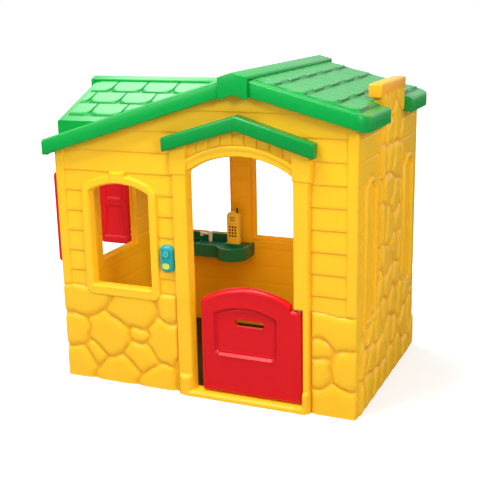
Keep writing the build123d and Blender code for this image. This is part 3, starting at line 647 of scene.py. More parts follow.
def combined(tree: bpy.types.NodeTree, operation: str, first: bpy.types.NodeSocket,
             second: bpy.types.NodeSocket, clamp: bool = False) -> bpy.types.NodeSocket:
    """The result of a Math node that two sockets feed.

    Args:
        tree: the node tree.
        operation: what the node does with the two.
        first, second: the sockets that feed it.
        clamp: whether the result is kept between 0 and 1.
    Returns:
        The node's output socket.
    """
    node = linked(tree, "ShaderNodeMath", operation=operation, use_clamp=clamp)
    tree.links.new(first, node.inputs[0])
    tree.links.new(second, node.inputs[1])
    return node.outputs[0]


def moulding_group() -> bpy.types.NodeTree:
    """Node group of moulded plastic: mottled colour, painted shade as a deeper colour in creases and joints,
    pebbled height.

    Returns:
        The group.
    """
    found = bpy.data.node_groups.get("moulded_plastic")
    if found is not None:
        return found
    group = bpy.data.node_groups.new("moulded_plastic", "ShaderNodeTree")
    face = group.interface
    for name in ("Colour", "Deep"):
        face.new_socket(name, in_out="INPUT", socket_type="NodeSocketColor").default_value = (1, 1, 1, 1)
    for name, value in (("Roughness", 0.35), ("Spread", 0.06), ("Mottle", 0.3), ("Grain Scale", 900.0),
                        ("Scuff", 0.1)):
        face.new_socket(name, in_out="INPUT", socket_type="NodeSocketFloat").default_value = value
    face.new_socket("Colour", in_out="OUTPUT", socket_type="NodeSocketColor")
    face.new_socket("Roughness", in_out="OUTPUT", socket_type="NodeSocketFloat")
    face.new_socket("Height", in_out="OUTPUT", socket_type="NodeSocketFloat")
    entry, leave = group.nodes.new("NodeGroupInput"), group.nodes.new("NodeGroupOutput")
    link = group.links.new
    where = group.nodes.new("ShaderNodeTexCoord")
    cloud = linked(group, "ShaderNodeTexNoise", Scale=5.0, Detail=4.0, Roughness=0.55)
    fine = linked(group, "ShaderNodeTexNoise", Scale=160.0, Detail=2.0, Roughness=0.6)
    pebble = group.nodes.new("ShaderNodeTexNoise")
    scratch = linked(group, "ShaderNodeTexNoise", Scale=42.0, Detail=6.0, Roughness=0.7)
    for node in (cloud, fine, pebble, scratch):
        link(where.outputs["Object"], node.inputs["Vector"])
    link(entry.outputs["Grain Scale"], pebble.inputs["Scale"])
    # Painted shade: the attribute read here pulls the colour towards the deep colour in creases, on top of
    # the random mottle.
    depth = linked(group, "ShaderNodeAttribute", attribute_name="painted_groove_shade")
    soft = linked(group, "ShaderNodeMapRange", From_Min=0.35, From_Max=0.7)
    link(cloud.outputs["Fac"], soft.inputs["Value"])
    mottle = combined(group, "MULTIPLY", soft.outputs["Result"], entry.outputs["Mottle"])
    mix = linked(group, "ShaderNodeMix", data_type="RGBA")
    link(combined(group, "ADD", mottle, depth.outputs["Fac"], clamp=True), mix.inputs["Factor"])
    link(entry.outputs["Colour"], mix.inputs[6])
    link(entry.outputs["Deep"], mix.inputs[7])
    link(mix.outputs[2], leave.inputs["Colour"])
    rub = linked(group, "ShaderNodeMapRange", From_Min=0.5, From_Max=0.75)
    link(scratch.outputs["Fac"], rub.inputs["Value"])
    scuffed = combined(group, "MULTIPLY", rub.outputs["Result"], entry.outputs["Scuff"])
    spread = combined(group, "MULTIPLY", fine.outputs["Fac"], entry.outputs["Spread"])
    rough = combined(group, "ADD", entry.outputs["Roughness"], spread)
    link(combined(group, "ADD", rough, scuffed, clamp=True), leave.inputs["Roughness"])
    link(combined(group, "ADD", pebble.outputs["Fac"], fine.outputs["Fac"]), leave.inputs["Height"])
    return group


@dataclass(frozen=True)
class Finish:
    """One moulded or plated finish: its colours as linear RGB and how rough it is."""

    name: str
    colour: tuple
    # deep: the darker end of the random mottle, and also the painted shade in creases and joints.
    deep: tuple
    roughness: float = 0.34
    spread: float = 0.08
    mottle: float = 0.25
    grain: float = 700.0
    relief: float = 0.08
    scuff: float = 0.08
    metallic: float = 0.0
    specular: float = 0.5

    def material(self) -> bpy.types.Material:
        """The material, made on first use.

        Returns:
            The material.
        """
        found = bpy.data.materials.get(self.name)
        if found is not None:
            return found
        made = bpy.data.materials.new(self.name)
        made.use_nodes = True
        tree = made.node_tree
        shader = tree.nodes["Principled BSDF"]
        group = tree.nodes.new("ShaderNodeGroup")
        group.node_tree = moulding_group()
        values = {"Colour": (*self.colour, 1), "Deep": (*self.deep, 1), "Roughness": self.roughness,
                  "Spread": self.spread, "Mottle": self.mottle, "Grain Scale": self.grain,
                  "Scuff": self.scuff}
        for name, value in values.items():
            group.inputs[name].default_value = value
        bump = linked(tree, "ShaderNodeBump", Strength=self.relief, Distance=0.001)
        link = tree.links.new
        link(group.outputs["Height"], bump.inputs["Height"])
        link(bump.outputs["Normal"], shader.inputs["Normal"])
        link(group.outputs["Colour"], shader.inputs["Base Color"])
        link(group.outputs["Roughness"], shader.inputs["Roughness"])
        shader.inputs["Metallic"].default_value = self.metallic
        shader.inputs["Specular IOR Level"].default_value = self.specular
        return made


# Each finish's second colour is its deep tone: the random mottle's darker end, and the painted shade in
# creases and joints.
YELLOW = Finish("yellow_moulding", (0.98, 0.545, 0.012), (0.86, 0.37, 0.004), roughness=0.3, mottle=0.16,
                specular=0.4)
YELLOW_FLAT = Finish("yellow_smooth", (0.98, 0.55, 0.014), (0.93, 0.45, 0.006), roughness=0.27, mottle=0.15,
                     specular=0.4)
GREEN = Finish("green_roof", (0.0, 0.35, 0.05), (0.0, 0.15, 0.024), roughness=0.25, mottle=0.12,
               specular=0.34)
GREEN_DARK = Finish("green_awning", (0.0, 0.29, 0.043), (0.0, 0.14, 0.022), roughness=0.25, mottle=0.15,
                    specular=0.4)
YELLOW_CAP = Finish("orange_chimney_cap", (0.98, 0.44, 0.02), (0.93, 0.34, 0.01), roughness=0.32,
                    mottle=0.15, specular=0.3)
RED = Finish("red_moulding", (0.71, 0.001, 0.006), (0.46, 0.001, 0.004), roughness=0.28, mottle=0.2,
             specular=0.4)
TEAL = Finish("teal_doorbell", (0.008, 0.35, 0.36), (0.004, 0.22, 0.25), roughness=0.28, grain=1200.0)
TEAL_PALE = Finish("pale_teal_spiral", (0.1, 0.5, 0.5), (0.05, 0.4, 0.4), roughness=0.22, grain=1500.0)
LIME = Finish("lime_window", (0.62, 0.72, 0.09), (0.5, 0.62, 0.05), roughness=0.22, grain=1500.0)
SHELF_RIM = Finish("worktop_rim", (0.0, 0.24, 0.13), (0.0, 0.16, 0.085), roughness=0.22)
SHELF = Finish("dark_green_shelf", (0.0, 0.165, 0.085), (0.0, 0.1, 0.055), roughness=0.27)
TAP = Finish("white_tap", (0.82, 0.84, 0.84), (0.66, 0.7, 0.72), roughness=0.25, mottle=0.15)
PHONE = Finish("yellow_phone", (0.86, 0.6, 0.05), (0.75, 0.46, 0.02), roughness=0.32)
KEYS = Finish("black_keys", (0.018, 0.018, 0.02), (0.008, 0.008, 0.01), roughness=0.45)
GREY = Finish("grey_plastic", (0.1, 0.1, 0.11), (0.05, 0.05, 0.055), roughness=0.45)
BOARD = Finish("green_circuit_board", (0.01, 0.12, 0.04), (0.004, 0.06, 0.02), roughness=0.35, grain=2500.0)
SPEAKER = Finish("speaker_metal", (0.4, 0.4, 0.41), (0.25, 0.25, 0.26), roughness=0.38, metallic=1.0)
STEEL = Finish("zinc_plated_steel", (0.62, 0.63, 0.65), (0.45, 0.46, 0.48), roughness=0.3, metallic=1.0)


# ---- stone and board relief ----
@dataclass
class Stones:
    """Moulded fieldstones: each point belongs to the stone whose oval reaches it first."""

    ovals: Grid
    relief: float = 10.5
    joint: float = 3.0
    shoulder: float = 27.0
    softness: float = 4.0
    wobble: float = 3.5

    def inset(self, u: Grid, v: Grid) -> Grid:
        """Distance from the joint between stones, rounded at their corners.

        Args:
            u, v: points in the wall's millimetres.
        Returns:
            Distance, positive inside a stone.
        """
        u = u + self.wobble * (np.sin(v / 21.0 + 1.3) + 0.5 * np.sin(v / 8.5))
        v = v + self.wobble * (np.sin(u / 25.0 + 0.4) + 0.5 * np.sin(u / 10.0))
        cu, cv, a, b = self.ovals.T * np.array([[1], [1], [0.5], [0.5]])
        du, dv = u.ravel()[:, None] - cu, v.ravel()[:, None] - cv
        reach = np.sqrt((du / a) ** 2 + (dv / b) ** 2) + 1e-6
        slope = np.sqrt((du / a ** 2) ** 2 + (dv / b ** 2) ** 2) / reach
        rows = np.arange(len(reach))
        own = reach.argmin(1)
        gap = (reach - reach[rows, own][:, None]) / (slope + slope[rows, own][:, None])
        gap[rows, own] = 1e3
        total = np.exp(-np.minimum(gap, 300) / self.softness).sum(1)
        return (-self.softness * np.log(total + 1e-30)).reshape(u.shape)

    def height(self, u: Grid, v: Grid, region: Grid) -> Grid:
        """Height of the stones where region, a distance, is negative.

        Args:
            u, v: points in the wall's millimetres.
            region: distance into the stonework, negative inside.
        Returns:
            The heights.
        """
        inset = np.minimum(self.inset(u, v), -region)
        dome = quarter_round((inset - self.joint) / self.shoulder)
        return np.where(region < 0, self.relief * dome, 0)

    def depth(self, u: Grid, v: Grid, region: Grid) -> Grid:
        """How deep a point lies in the joints, from 0 to 1, which sets the painted shade there."""
        inset = np.minimum(self.inset(u, v), -region)
        return np.where(region < 2, np.exp(-np.maximum(inset, 0) / 6.0), 0)


def scattered_stones(u0: float, u1: float, v0: float, v1: float, pitch_u: float, pitch_v: float,
                     seed: int) -> Grid:
    """Stones laid in uneven, staggered rows.

    Args:
        u0, u1, v0, v1: the area they cover.
        pitch_u, pitch_v: a stone's usual size.
        seed: for the random draws.
    Returns:
        Rows of (u, v, width, height).
    """
    rng = np.random.default_rng(seed)
    rows = []
    for row, v in enumerate(np.arange(v0 + pitch_v / 2, v1 + pitch_v / 2, pitch_v)):
        for u in np.arange(u0 + (0.5 if row % 2 else 0.1) * pitch_u, u1 + pitch_u / 2, pitch_u):
            shift = rng.uniform(-0.28, 0.28, 2)
            rows.append((u + shift[0] * pitch_u, v + shift[1] * pitch_v, pitch_u * rng.uniform(0.75, 1.3),
                         pitch_v * rng.uniform(0.75, 1.3)))
    return np.array(rows)


def joint_distance(v: Grid) -> Grid:
    """Distance to the nearest joint between boards."""
    along = np.mod(v - HOUSE.board_line, HOUSE.board)
    return np.minimum(along, HOUSE.board - along)


def boards(v: Grid) -> Grid:
    """Height of the lapped boards, thicker at each board's lower edge."""
    lap = 3.2 * (1 - np.mod(v - HOUSE.board_line, HOUSE.board) / HOUSE.board)
    return lap - 3.0 * ridge(joint_distance(v), 2.2)


def board_joint_shade(v: Grid) -> Grid:
    """How near a point is to a joint between boards, from 0 to 1, which sets the painted shade there."""
    return 0.8 * ridge(joint_distance(v), 4.0)


def board_marks(low: float, high: float) -> list:
    """Grid lines that follow the joints between boards."""
    joints = [HOUSE.board_line + k * HOUSE.board for k in range(-12, 8)]
    return around([z for z in joints if low < z < high], (-5.0, -2.6, -1.0, 0.0, 1.0, 2.6, 5.0))


def wall_inside(u: Grid, v: Grid) -> Grid:
    """Inner face of a wall, with shallow board lines."""
    return -HOUSE.wall + 1.4 * ridge(joint_distance(v), 4.0)


def corner_posts(x: Grid, z: Grid, out: float) -> Grid:
    """Relief of the posts at both ends of the front or back wall, above its stones."""
    post = box_shape(-20, HOUSE.post, HOUSE.stone_top - 4, 1400, 3)
    return raised(post(np.minimum(x, HOUSE.width - x), z), out, 7.0)


STONE_GRID = 384.0
EDGE_MARKS = (-6, -3, -1, 0, 1, 3, 6)
POST_MARKS = (-6.0, -3.0, -1.0, 0.0, 1.0)


# ---- front wall ----
@dataclass
class FrontWall:
    """The front wall: stones, boards, corner posts, arched doorway and framed window."""

    door_left: float = 551.0
    door_right: float = 943.0
    rebate_right: float = 978.0
    rebate_top: float = 378.0
    spring: float = 835.0
    apex: float = 897.0
    threshold: float = 23.0
    pilaster: float = 60.0
    plinth: float = 84.0
    capital_low: float = 823.0
    capital_high: float = 936.0
    band: float = 44.0
    window: tuple = (266.0, 246.0, 386.0, 740.0, 774.0)
    frame_width: float = 34.0
    sill: float = 42.0
    band_base: float = 2.0
    keystone_half: float = 27.0
    post_out: float = 8.0
    pilaster_out: float = 18.0
    foot_out: float = 29.0
    capital_out: float = 21.8
    capital_side: float = 8.0
    threshold_out: float = 31.0
    head_out: float = 9.0
    wall_edge: float = 9.0
    jamb_edge: float = 4.5
    head_board: float = 46.0
    bell_recess: tuple = (434.0, 480.0, 509.0, 555.0)
    bell_recess_depth: float = 6.0
    stones_left: tuple = ((90, 316, 190, 136), (294, 282, 214, 116), (446, 312, 84, 122), (48, 192, 112, 138),
                          (190, 192, 176, 184), (319, 200, 92, 64), (426, 182, 142, 196), (62, 66, 136, 124),
                          (128, 100, 92, 102), (226, 48, 176, 116), (336, 112, 150, 126), (405, 40, 164, 132),
                          (500, 62, 70, 130))
    stones_right: tuple = ((1088, 312, 168, 134), (1042, 246, 78, 82), (1040, 146, 72, 118),
                           (1128, 172, 92, 144), (1092, 48, 164, 134))

    def centre(self) -> float:
        """Middle of the doorway."""
        return (self.door_left + self.door_right) / 2

    def stones(self) -> Stones:
        """Every stone on this wall."""
        return Stones(np.array([*self.stones_left, *self.stones_right], float))

    def stone_region(self, x: Grid, z: Grid) -> Grid:
        """Distance into the stone base, its top line a little uneven.

        Args:
            x, z: house millimetres.
        Returns:
            The distance, negative inside.
        """
        top = HOUSE.stone_top + 5.0 * np.sin(x / 31.0)
        left = np.maximum(x - (self.door_left - self.pilaster), z - top)
        right = np.maximum(self.door_right + self.pilaster - x, z - top)
        return np.minimum(left, right)

    def opening(self) -> list:
        """The doorway, its rebate and the window.

        Returns:
            Their shape functions.
        """
        door = arch_shape(self.centre(), self.door_right - self.door_left, self.threshold, self.spring + 1.2,
                          self.apex + 1.2)
        rebate = box_shape(self.centre(), self.rebate_right, self.threshold, self.rebate_top)
        window = arch_shape(*self.window, 5.0)
        return [lambda u, v: np.minimum(door(u, v), rebate(u, v)), lambda u, v: window(u, v) - 1.2]

    def outer(self, x: Grid, z: Grid) -> Grid:
        """Relief of the outer face.

        Args:
            x, z: house millimetres.
        Returns:
            The relief.
        """
        region = self.stone_region(x, z)
        height = np.where(region < 0, self.stones().height(x, z, region), boards(z))
        height = np.maximum(height, corner_posts(x, z, self.post_out))
        for low, high in ((self.door_left - self.pilaster, self.door_left),
                          (self.door_right, self.door_right + self.pilaster)):
            column = box_shape(low, high, -60, self.capital_low + 8)
            height = np.maximum(height, raised(column(x, z), self.pilaster_out, 5.5))
            foot = box_shape(low - 2, high + 2, -60, self.plinth, 6)
            height = np.maximum(height, raised(foot(x, z), self.foot_out, 24.0))
            capital = box_shape(low - self.capital_side, high + self.capital_side, self.capital_low,
                                self.capital_high, 3)
            height = np.maximum(height, raised(capital(x, z), self.capital_out, 6.0))
        sill = box_shape(self.door_left - 40, self.rebate_right + 20, -60, self.threshold)
        height = np.maximum(height, raised(sill(x, z), self.threshold_out, 13.0))
        head = box_shape(self.door_left, self.door_right, self.spring, 1040)
        under_awning = z - 1012.0 + 0.3 * np.abs(x - self.centre())
        beads = np.mod(x - self.centre(), self.head_board) - self.head_board / 2
        panel = self.head_out - 4.5 * ridge(beads, 2.4)
        height = np.where(np.maximum(head(x, z), under_awning) < 0, panel, height)
        height = np.where(box_shape(*self.bell_recess)(x, z) < 0, -self.bell_recess_depth, height)
        return self.edges(x, z, height)

    def edges(self, x: Grid, z: Grid, height: Grid) -> Grid:
        """Rounds the wall's vertical corners and the doorway's edge."""
        height = height - rounding(np.minimum(x, HOUSE.width - x), self.wall_edge)
        return height - self.jamb_edge * (1 - quarter_round(self.opening()[0](x, z) / 5.0))

    def painted_groove_shade(self, x: Grid, z: Grid) -> Grid:
        """Painted shade: where the colour is deeper, in the stone joints and board joints.

        Args:
            x, z: house millimetres.
        Returns:
            Depth from 0 to 1.
        """
        region = self.stone_region(x, z)
        flat = self.outer(x, z)
        boards_here = np.where((region > 0) & (flat < 4.5), board_joint_shade(z), 0)
        return np.where(region < 2, self.stones().depth(x, z, region) * (flat < 12), boards_here) * 0.6

    def build(self) -> None:
        """Makes the wall and its surrounds."""
        width, window = HOUSE.width, self.window
        pilasters = (self.door_left - self.pilaster, self.door_left,
                     self.door_right, self.door_right + self.pilaster)
        capitals = [edge + side * self.capital_side for edge, side in zip(pilasters, (-1, 1, -1, 1))]
        marks_x = around(pilasters, (-5.5, -2.5, -0.8, 0.0, 0.8, 2.5, 5.5))
        marks_x += around(capitals, (-2, 0, 2, 5))
        marks_x += around((HOUSE.post, width - HOUSE.post), POST_MARKS)
        marks_x += [0.8, 2.5, 5.0, 9.0, width - 9, width - 5, width - 2.5, width - 0.8]
        marks_x += [window[0] - window[1] / 2, window[0] + window[1] / 2, self.rebate_right]
        marks_x += around([self.centre() + self.head_board * (k + 0.5) for k in range(-4, 4)],
                          (-3, -1.5, 0, 1.5, 3))
        marks_z = board_marks(HOUSE.stone_top, HOUSE.ridge_z)
        marks_z += around((self.capital_low, self.capital_high, self.plinth, self.threshold), EDGE_MARKS)
        marks_x += around(self.bell_recess[:2], (-0.5, 0.5))
        marks_z += [self.window[2], self.rebate_top, *around(self.bell_recess[2:], (-0.5, 0.5))]
        sheet = Sheet(grid_lines([(0.0, HOUSE.width, 4.4)], marks_x),
                      grid_lines([(0.0, STONE_GRID, 4.4), (STONE_GRID, HOUSE.ridge_z - 20, 13.0)], marks_z),
                      self.outer, wall_inside, placing(Face.FRONT), holes=self.opening(),
                      outline=lambda u, v: v - (HOUSE.main_roof(u) - HOUSE.roof_drop), painted_groove_shade=self.painted_groove_shade)
        settle(sheet.build("front_wall_panel", YELLOW), "house", "yellow_plastic", "front_wall")
        self.window_frame()
        self.door_arch()

    def window_frame(self) -> None:
        """Broad rounded band round the window, its sill and its keystone."""
        centre, width, bottom, spring, apex = self.window
        reach, low = width / 2 + self.frame_width, bottom - self.sill
        hole = arch_shape(*self.window, 5.0)
        body = box_shape(centre - reach, centre + reach, low, 1200, 24)
        big = arch_radius(width, apex - spring) + self.frame_width

        def band(x: Grid, z: Grid) -> Grid:
            """Distance to the band's outer edge."""
            head = np.hypot(x - centre, z - (apex + self.frame_width - big)) - big
            return smooth_max(head, body(x, z), 34.0)

        def keystone(x: Grid, z: Grid) -> Grid:
            """Distance to the keystone, wider at its top."""
            half = self.keystone_half + 7.0 * (z - apex) / 46.0
            return smooth_max(np.abs(x - centre) - half, np.abs(z - apex - 20.0) - self.keystone_half, 4.0)

        def outline(x: Grid, z: Grid) -> Grid:
            """Distance to the outside of band and keystone."""
            return np.minimum(band(x, z), keystone(x, z))

        def outer(x: Grid, z: Grid) -> Grid:
            """Relief of the band, the keystone standing in front of it."""
            flat = raised(np.maximum(band(x, z), -hole(x, z)), 12.0, 6.5)
            key = raised(np.maximum(keystone(x, z), -hole(x, z)), 15.8, 8.0)
            return self.band_base + np.maximum(flat, np.where(keystone(x, z) < 0, key, -self.band_base))

        def inner(x: Grid, z: Grid) -> Grid:
            """Deep at the window, where the band lines the opening, and shallow elsewhere."""
            return np.where(hole(x, z) < 3.0, -HOUSE.wall, -1.0)

        marks_x = around((centre - reach, centre + reach, centre - width / 2, centre + width / 2), EDGE_MARKS)
        marks_z = around((bottom, low), EDGE_MARKS)
        sheet = Sheet(grid_lines([(centre - reach - 2, centre + reach + 2, 5.0)], marks_x),
                      grid_lines([(low - 2, apex + 50, 4.4)], marks_z), outer, inner, placing(Face.FRONT),
                      holes=[hole], outline=outline)
        settle(sheet.build("front_window_surround", YELLOW_FLAT, 50), "house", "yellow_plastic")

    def door_arch(self) -> None:
        """The arched band between the capitals."""
        left, right = self.door_left, self.door_right
        big = arch_radius(right - left, self.apex - self.spring)
        middle = self.apex - big
        centre = self.centre()
        edge, bead_half = 6.0, 11.0

        def ring(x: Grid, z: Grid) -> Grid:
            """Distance out from the arch's line."""
            return np.hypot(x - centre, z - middle) - big

        def outer(x: Grid, z: Grid) -> Grid:
            """A flat band with a raised bead along its outside."""
            out = ring(x, z)
            flat = 13.5 * quarter_round(out / edge)
            bead = 5.0 * half_round(out - self.band + bead_half, bead_half)
            return self.band_base + (flat + bead) * quarter_round((self.band - out) / edge)

        def inner(x: Grid, z: Grid) -> Grid:
            """Lines the doorway's head, and shallow elsewhere."""
            return np.where(ring(x, z) < 4.0, -HOUSE.wall, -1.0)

        sheet = Sheet(grid_lines([(left - 1, right + 1, 4.0)], []),
                      grid_lines([(self.spring - 4, self.apex + self.band + 2, 3.6)], []), outer, inner,
                      placing(Face.FRONT), holes=[ring],
                      outline=lambda x, z: np.maximum(ring(x, z) - self.band,
                                                      np.abs(x - centre) - (right - left) / 2))
        settle(sheet.build("door_arch_band", YELLOW_FLAT, 50), "house", "yellow_plastic")


# ---- the other walls ----
@dataclass
class BackWall:
    """The back wall with its two arched windows."""

    windows: tuple = ((244.0, 266.0, 385.0, 800.0, 836.0), (586.0, 266.0, 385.0, 800.0, 836.0))
    corner: float = 26.0
    post_out: float = 7.8
    wall_edge: float = 8.0
    stone_share: float = 0.78

    def stones(self) -> Stones:
        """Scattered stones along the base."""
        return Stones(scattered_stones(0, HOUSE.width, 0, HOUSE.stone_top, 150, 118, 7))

    @staticmethod
    def region(x: Grid, z: Grid) -> Grid:
        """Distance into the stone base."""
        return z - HOUSE.stone_top - 5.0 * np.sin(x / 29.0)

    def outer(self, x: Grid, z: Grid) -> Grid:
        """Relief of the outer face.

        Args:
            x, z: house millimetres.
        Returns:
            The relief.
        """
        region = self.region(x, z)
        height = np.where(region < 0, self.stones().height(x, z, region) * self.stone_share, boards(z))
        height = np.maximum(height, corner_posts(x, z, self.post_out))
        return height - rounding(np.minimum(x, HOUSE.width - x), self.wall_edge)

    def painted_groove_shade(self, x: Grid, z: Grid) -> Grid:
        """Painted shade: where the colour is deeper, in the stone joints and board joints.

        Args:
            x, z: house millimetres.
        Returns:
            Depth from 0 to 1.
        """
        region = self.region(x, z)
        posts = (x > HOUSE.post) & (x < HOUSE.width - HOUSE.post)
        return 0.75 * np.where(region < 2, self.stones().depth(x, z, region), board_joint_shade(z) * posts)

    def build(self) -> None:
        """Makes the wall and the bands round its windows."""
        marks_x = around((HOUSE.post, HOUSE.width - HOUSE.post), POST_MARKS)
        marks_x += [0.8, 2.5, 5.0, HOUSE.width - 5, HOUSE.width - 2.5, HOUSE.width - 0.8]
        holes = [arch_shape(*w, self.corner) for w in self.windows]
        for window in self.windows:
            marks_x += [window[0] - window[1] / 2, window[0] + window[1] / 2]
        sheet = Sheet(grid_lines([(0.0, HOUSE.width, 5.5)], marks_x),
                      grid_lines([(0.0, STONE_GRID, 5.5), (STONE_GRID, HOUSE.ridge_z - 20, 11.0)],
                                 board_marks(HOUSE.stone_top, HOUSE.ridge_z) + [385.0]),
                      self.outer, wall_inside, placing(Face.BACK), holes=holes,
                      outline=lambda u, v: v - (HOUSE.main_roof(u) - HOUSE.roof_drop), painted_groove_shade=self.painted_groove_shade)
        settle(sheet.build("back_wall_panel", YELLOW), "house", "yellow_plastic", "back_wall")
        bands = []
        for number, window in enumerate(self.windows):
            path = self.rounded_path(window)
            bands.append(swept(f"back_band_{number}", path, round_profile(24, 7.8, 3.5, HOUSE.wall + 2),
                               placing(Face.BACK), YELLOW_FLAT))
        settle(joined("back_window_bands", bands), "house", "yellow_plastic")

    def rounded_path(self, window: tuple) -> list:
        """The window's outline with rounded lower corners.

        Args:
            window: its centre, width, bottom, spring and apex.
        Returns:
            Its points.
        """
        centre, width, bottom, spring, apex = window
        r = self.corner
        left, right = centre - width / 2, centre + width / 2
        head = arch_path(centre, width, bottom, spring, apex)[2:]
        return [*arc_points((right - r, bottom + r), r, 0, -90, 8),
                *arc_points((left + r, bottom + r), r, -90, -180, 8), *head]


@dataclass
class LeftWall:
    """The left wall: a square window under the cross gable."""

    window: tuple = (247.0, 539.0, 392.0, 748.0)
    stone_top: float = 360.0
    stone_share: float = 0.78
    ear_ys: tuple = (230.0, 556.0)
    ear_zs: tuple = (421.0, 445.0, 678.0, 702.0)

    def stones(self) -> Stones:
        """Scattered stones along the base."""
        return Stones(scattered_stones(20, 770, 0, self.stone_top, 140, 112, 11))

    def region(self, y: Grid, z: Grid) -> Grid:
        """Distance into the stone base."""
        return z - self.stone_top

    def outer(self, y: Grid, z: Grid) -> Grid:
        """Relief of the outer face."""
        region = self.region(y, z)
        return np.where(region < 0, self.stones().height(y, z, region) * self.stone_share, boards(z))

    def painted_groove_shade(self, y: Grid, z: Grid) -> Grid:
        """Painted shade: where the colour is deeper, in the stone joints and board joints."""
        region = self.region(y, z)
        return 0.75 * np.where(region < 2, self.stones().depth(y, z, region), board_joint_shade(z))

    @staticmethod
    def top_line(y: Grid, z: Grid) -> Grid:
        """Distance above the wall's top: the gable between two low shoulders.

        Args:
            y, z: house millimetres.
        Returns:
            The distance, negative inside the wall.
        """
        step = HOUSE.setback + HOUSE.riser
        gable = np.maximum(z - (HOUSE.cross_roof(y) - HOUSE.roof_drop),
                           np.abs(y - HOUSE.depth / 2) - (HOUSE.depth / 2 - step))
        return np.minimum(z - (HOUSE.left_eave - HOUSE.roof_drop), gable)

    def build(self) -> None:
        """Makes the wall, the window band and the shutter ears."""
        low, high = HOUSE.wall + 0.4, HOUSE.depth - HOUSE.wall - 0.4
        place = placing(Face.LEFT)
        sheet = Sheet(grid_lines([(low, high, 5.0)], [self.window[0], self.window[1]]),
                      grid_lines([(0.0, 368.0, 5.0), (368.0, HOUSE.cross_ridge - 20, 11.0)],
                                 board_marks(368, HOUSE.cross_ridge) + list(self.window[2:])),
                      self.outer, wall_inside, place, holes=[box_shape(*self.window)],
                      outline=self.top_line, painted_groove_shade=self.painted_groove_shade)
        settle(sheet.build("left_wall_panel", YELLOW), "house", "yellow_plastic", "left_wall")
        u0, u1, v0, v1 = self.window
        path = [(u1, v0), (u0, v0), (u0, v1), (u1, v1)]
        band = swept("side_band", path, round_profile(15, 3.4, 2, HOUSE.wall), place, YELLOW_FLAT)
        ears = [self.ear(y, z) for y in self.ear_ys for z in self.ear_zs]
        settle(joined("side_window_band_and_ears", [band, *ears]), "house", "yellow_plastic")

    @staticmethod
    def ear(y: float, z: float) -> Piece:
        """One hinge ear: a round-nosed lug on the wall.

        Args:
            y: its place along the wall.
            z: its underside.
        Returns:
            The lug.
        """
        outline = [(-9.0, -2.0), *arc_points((0.0, 14.0), 9.0, 180, 0, 11), (9.0, -2.0)]

        def flat(u: Grid, v: Grid, out: Grid) -> Grid:
            """Lays the lug's outline level at this height."""
            return HOUSE.place(-v, y + u, z + out)

        return plate("ear", outline, 0.0, 12.0, flat, YELLOW_FLAT, 1.2, 2)


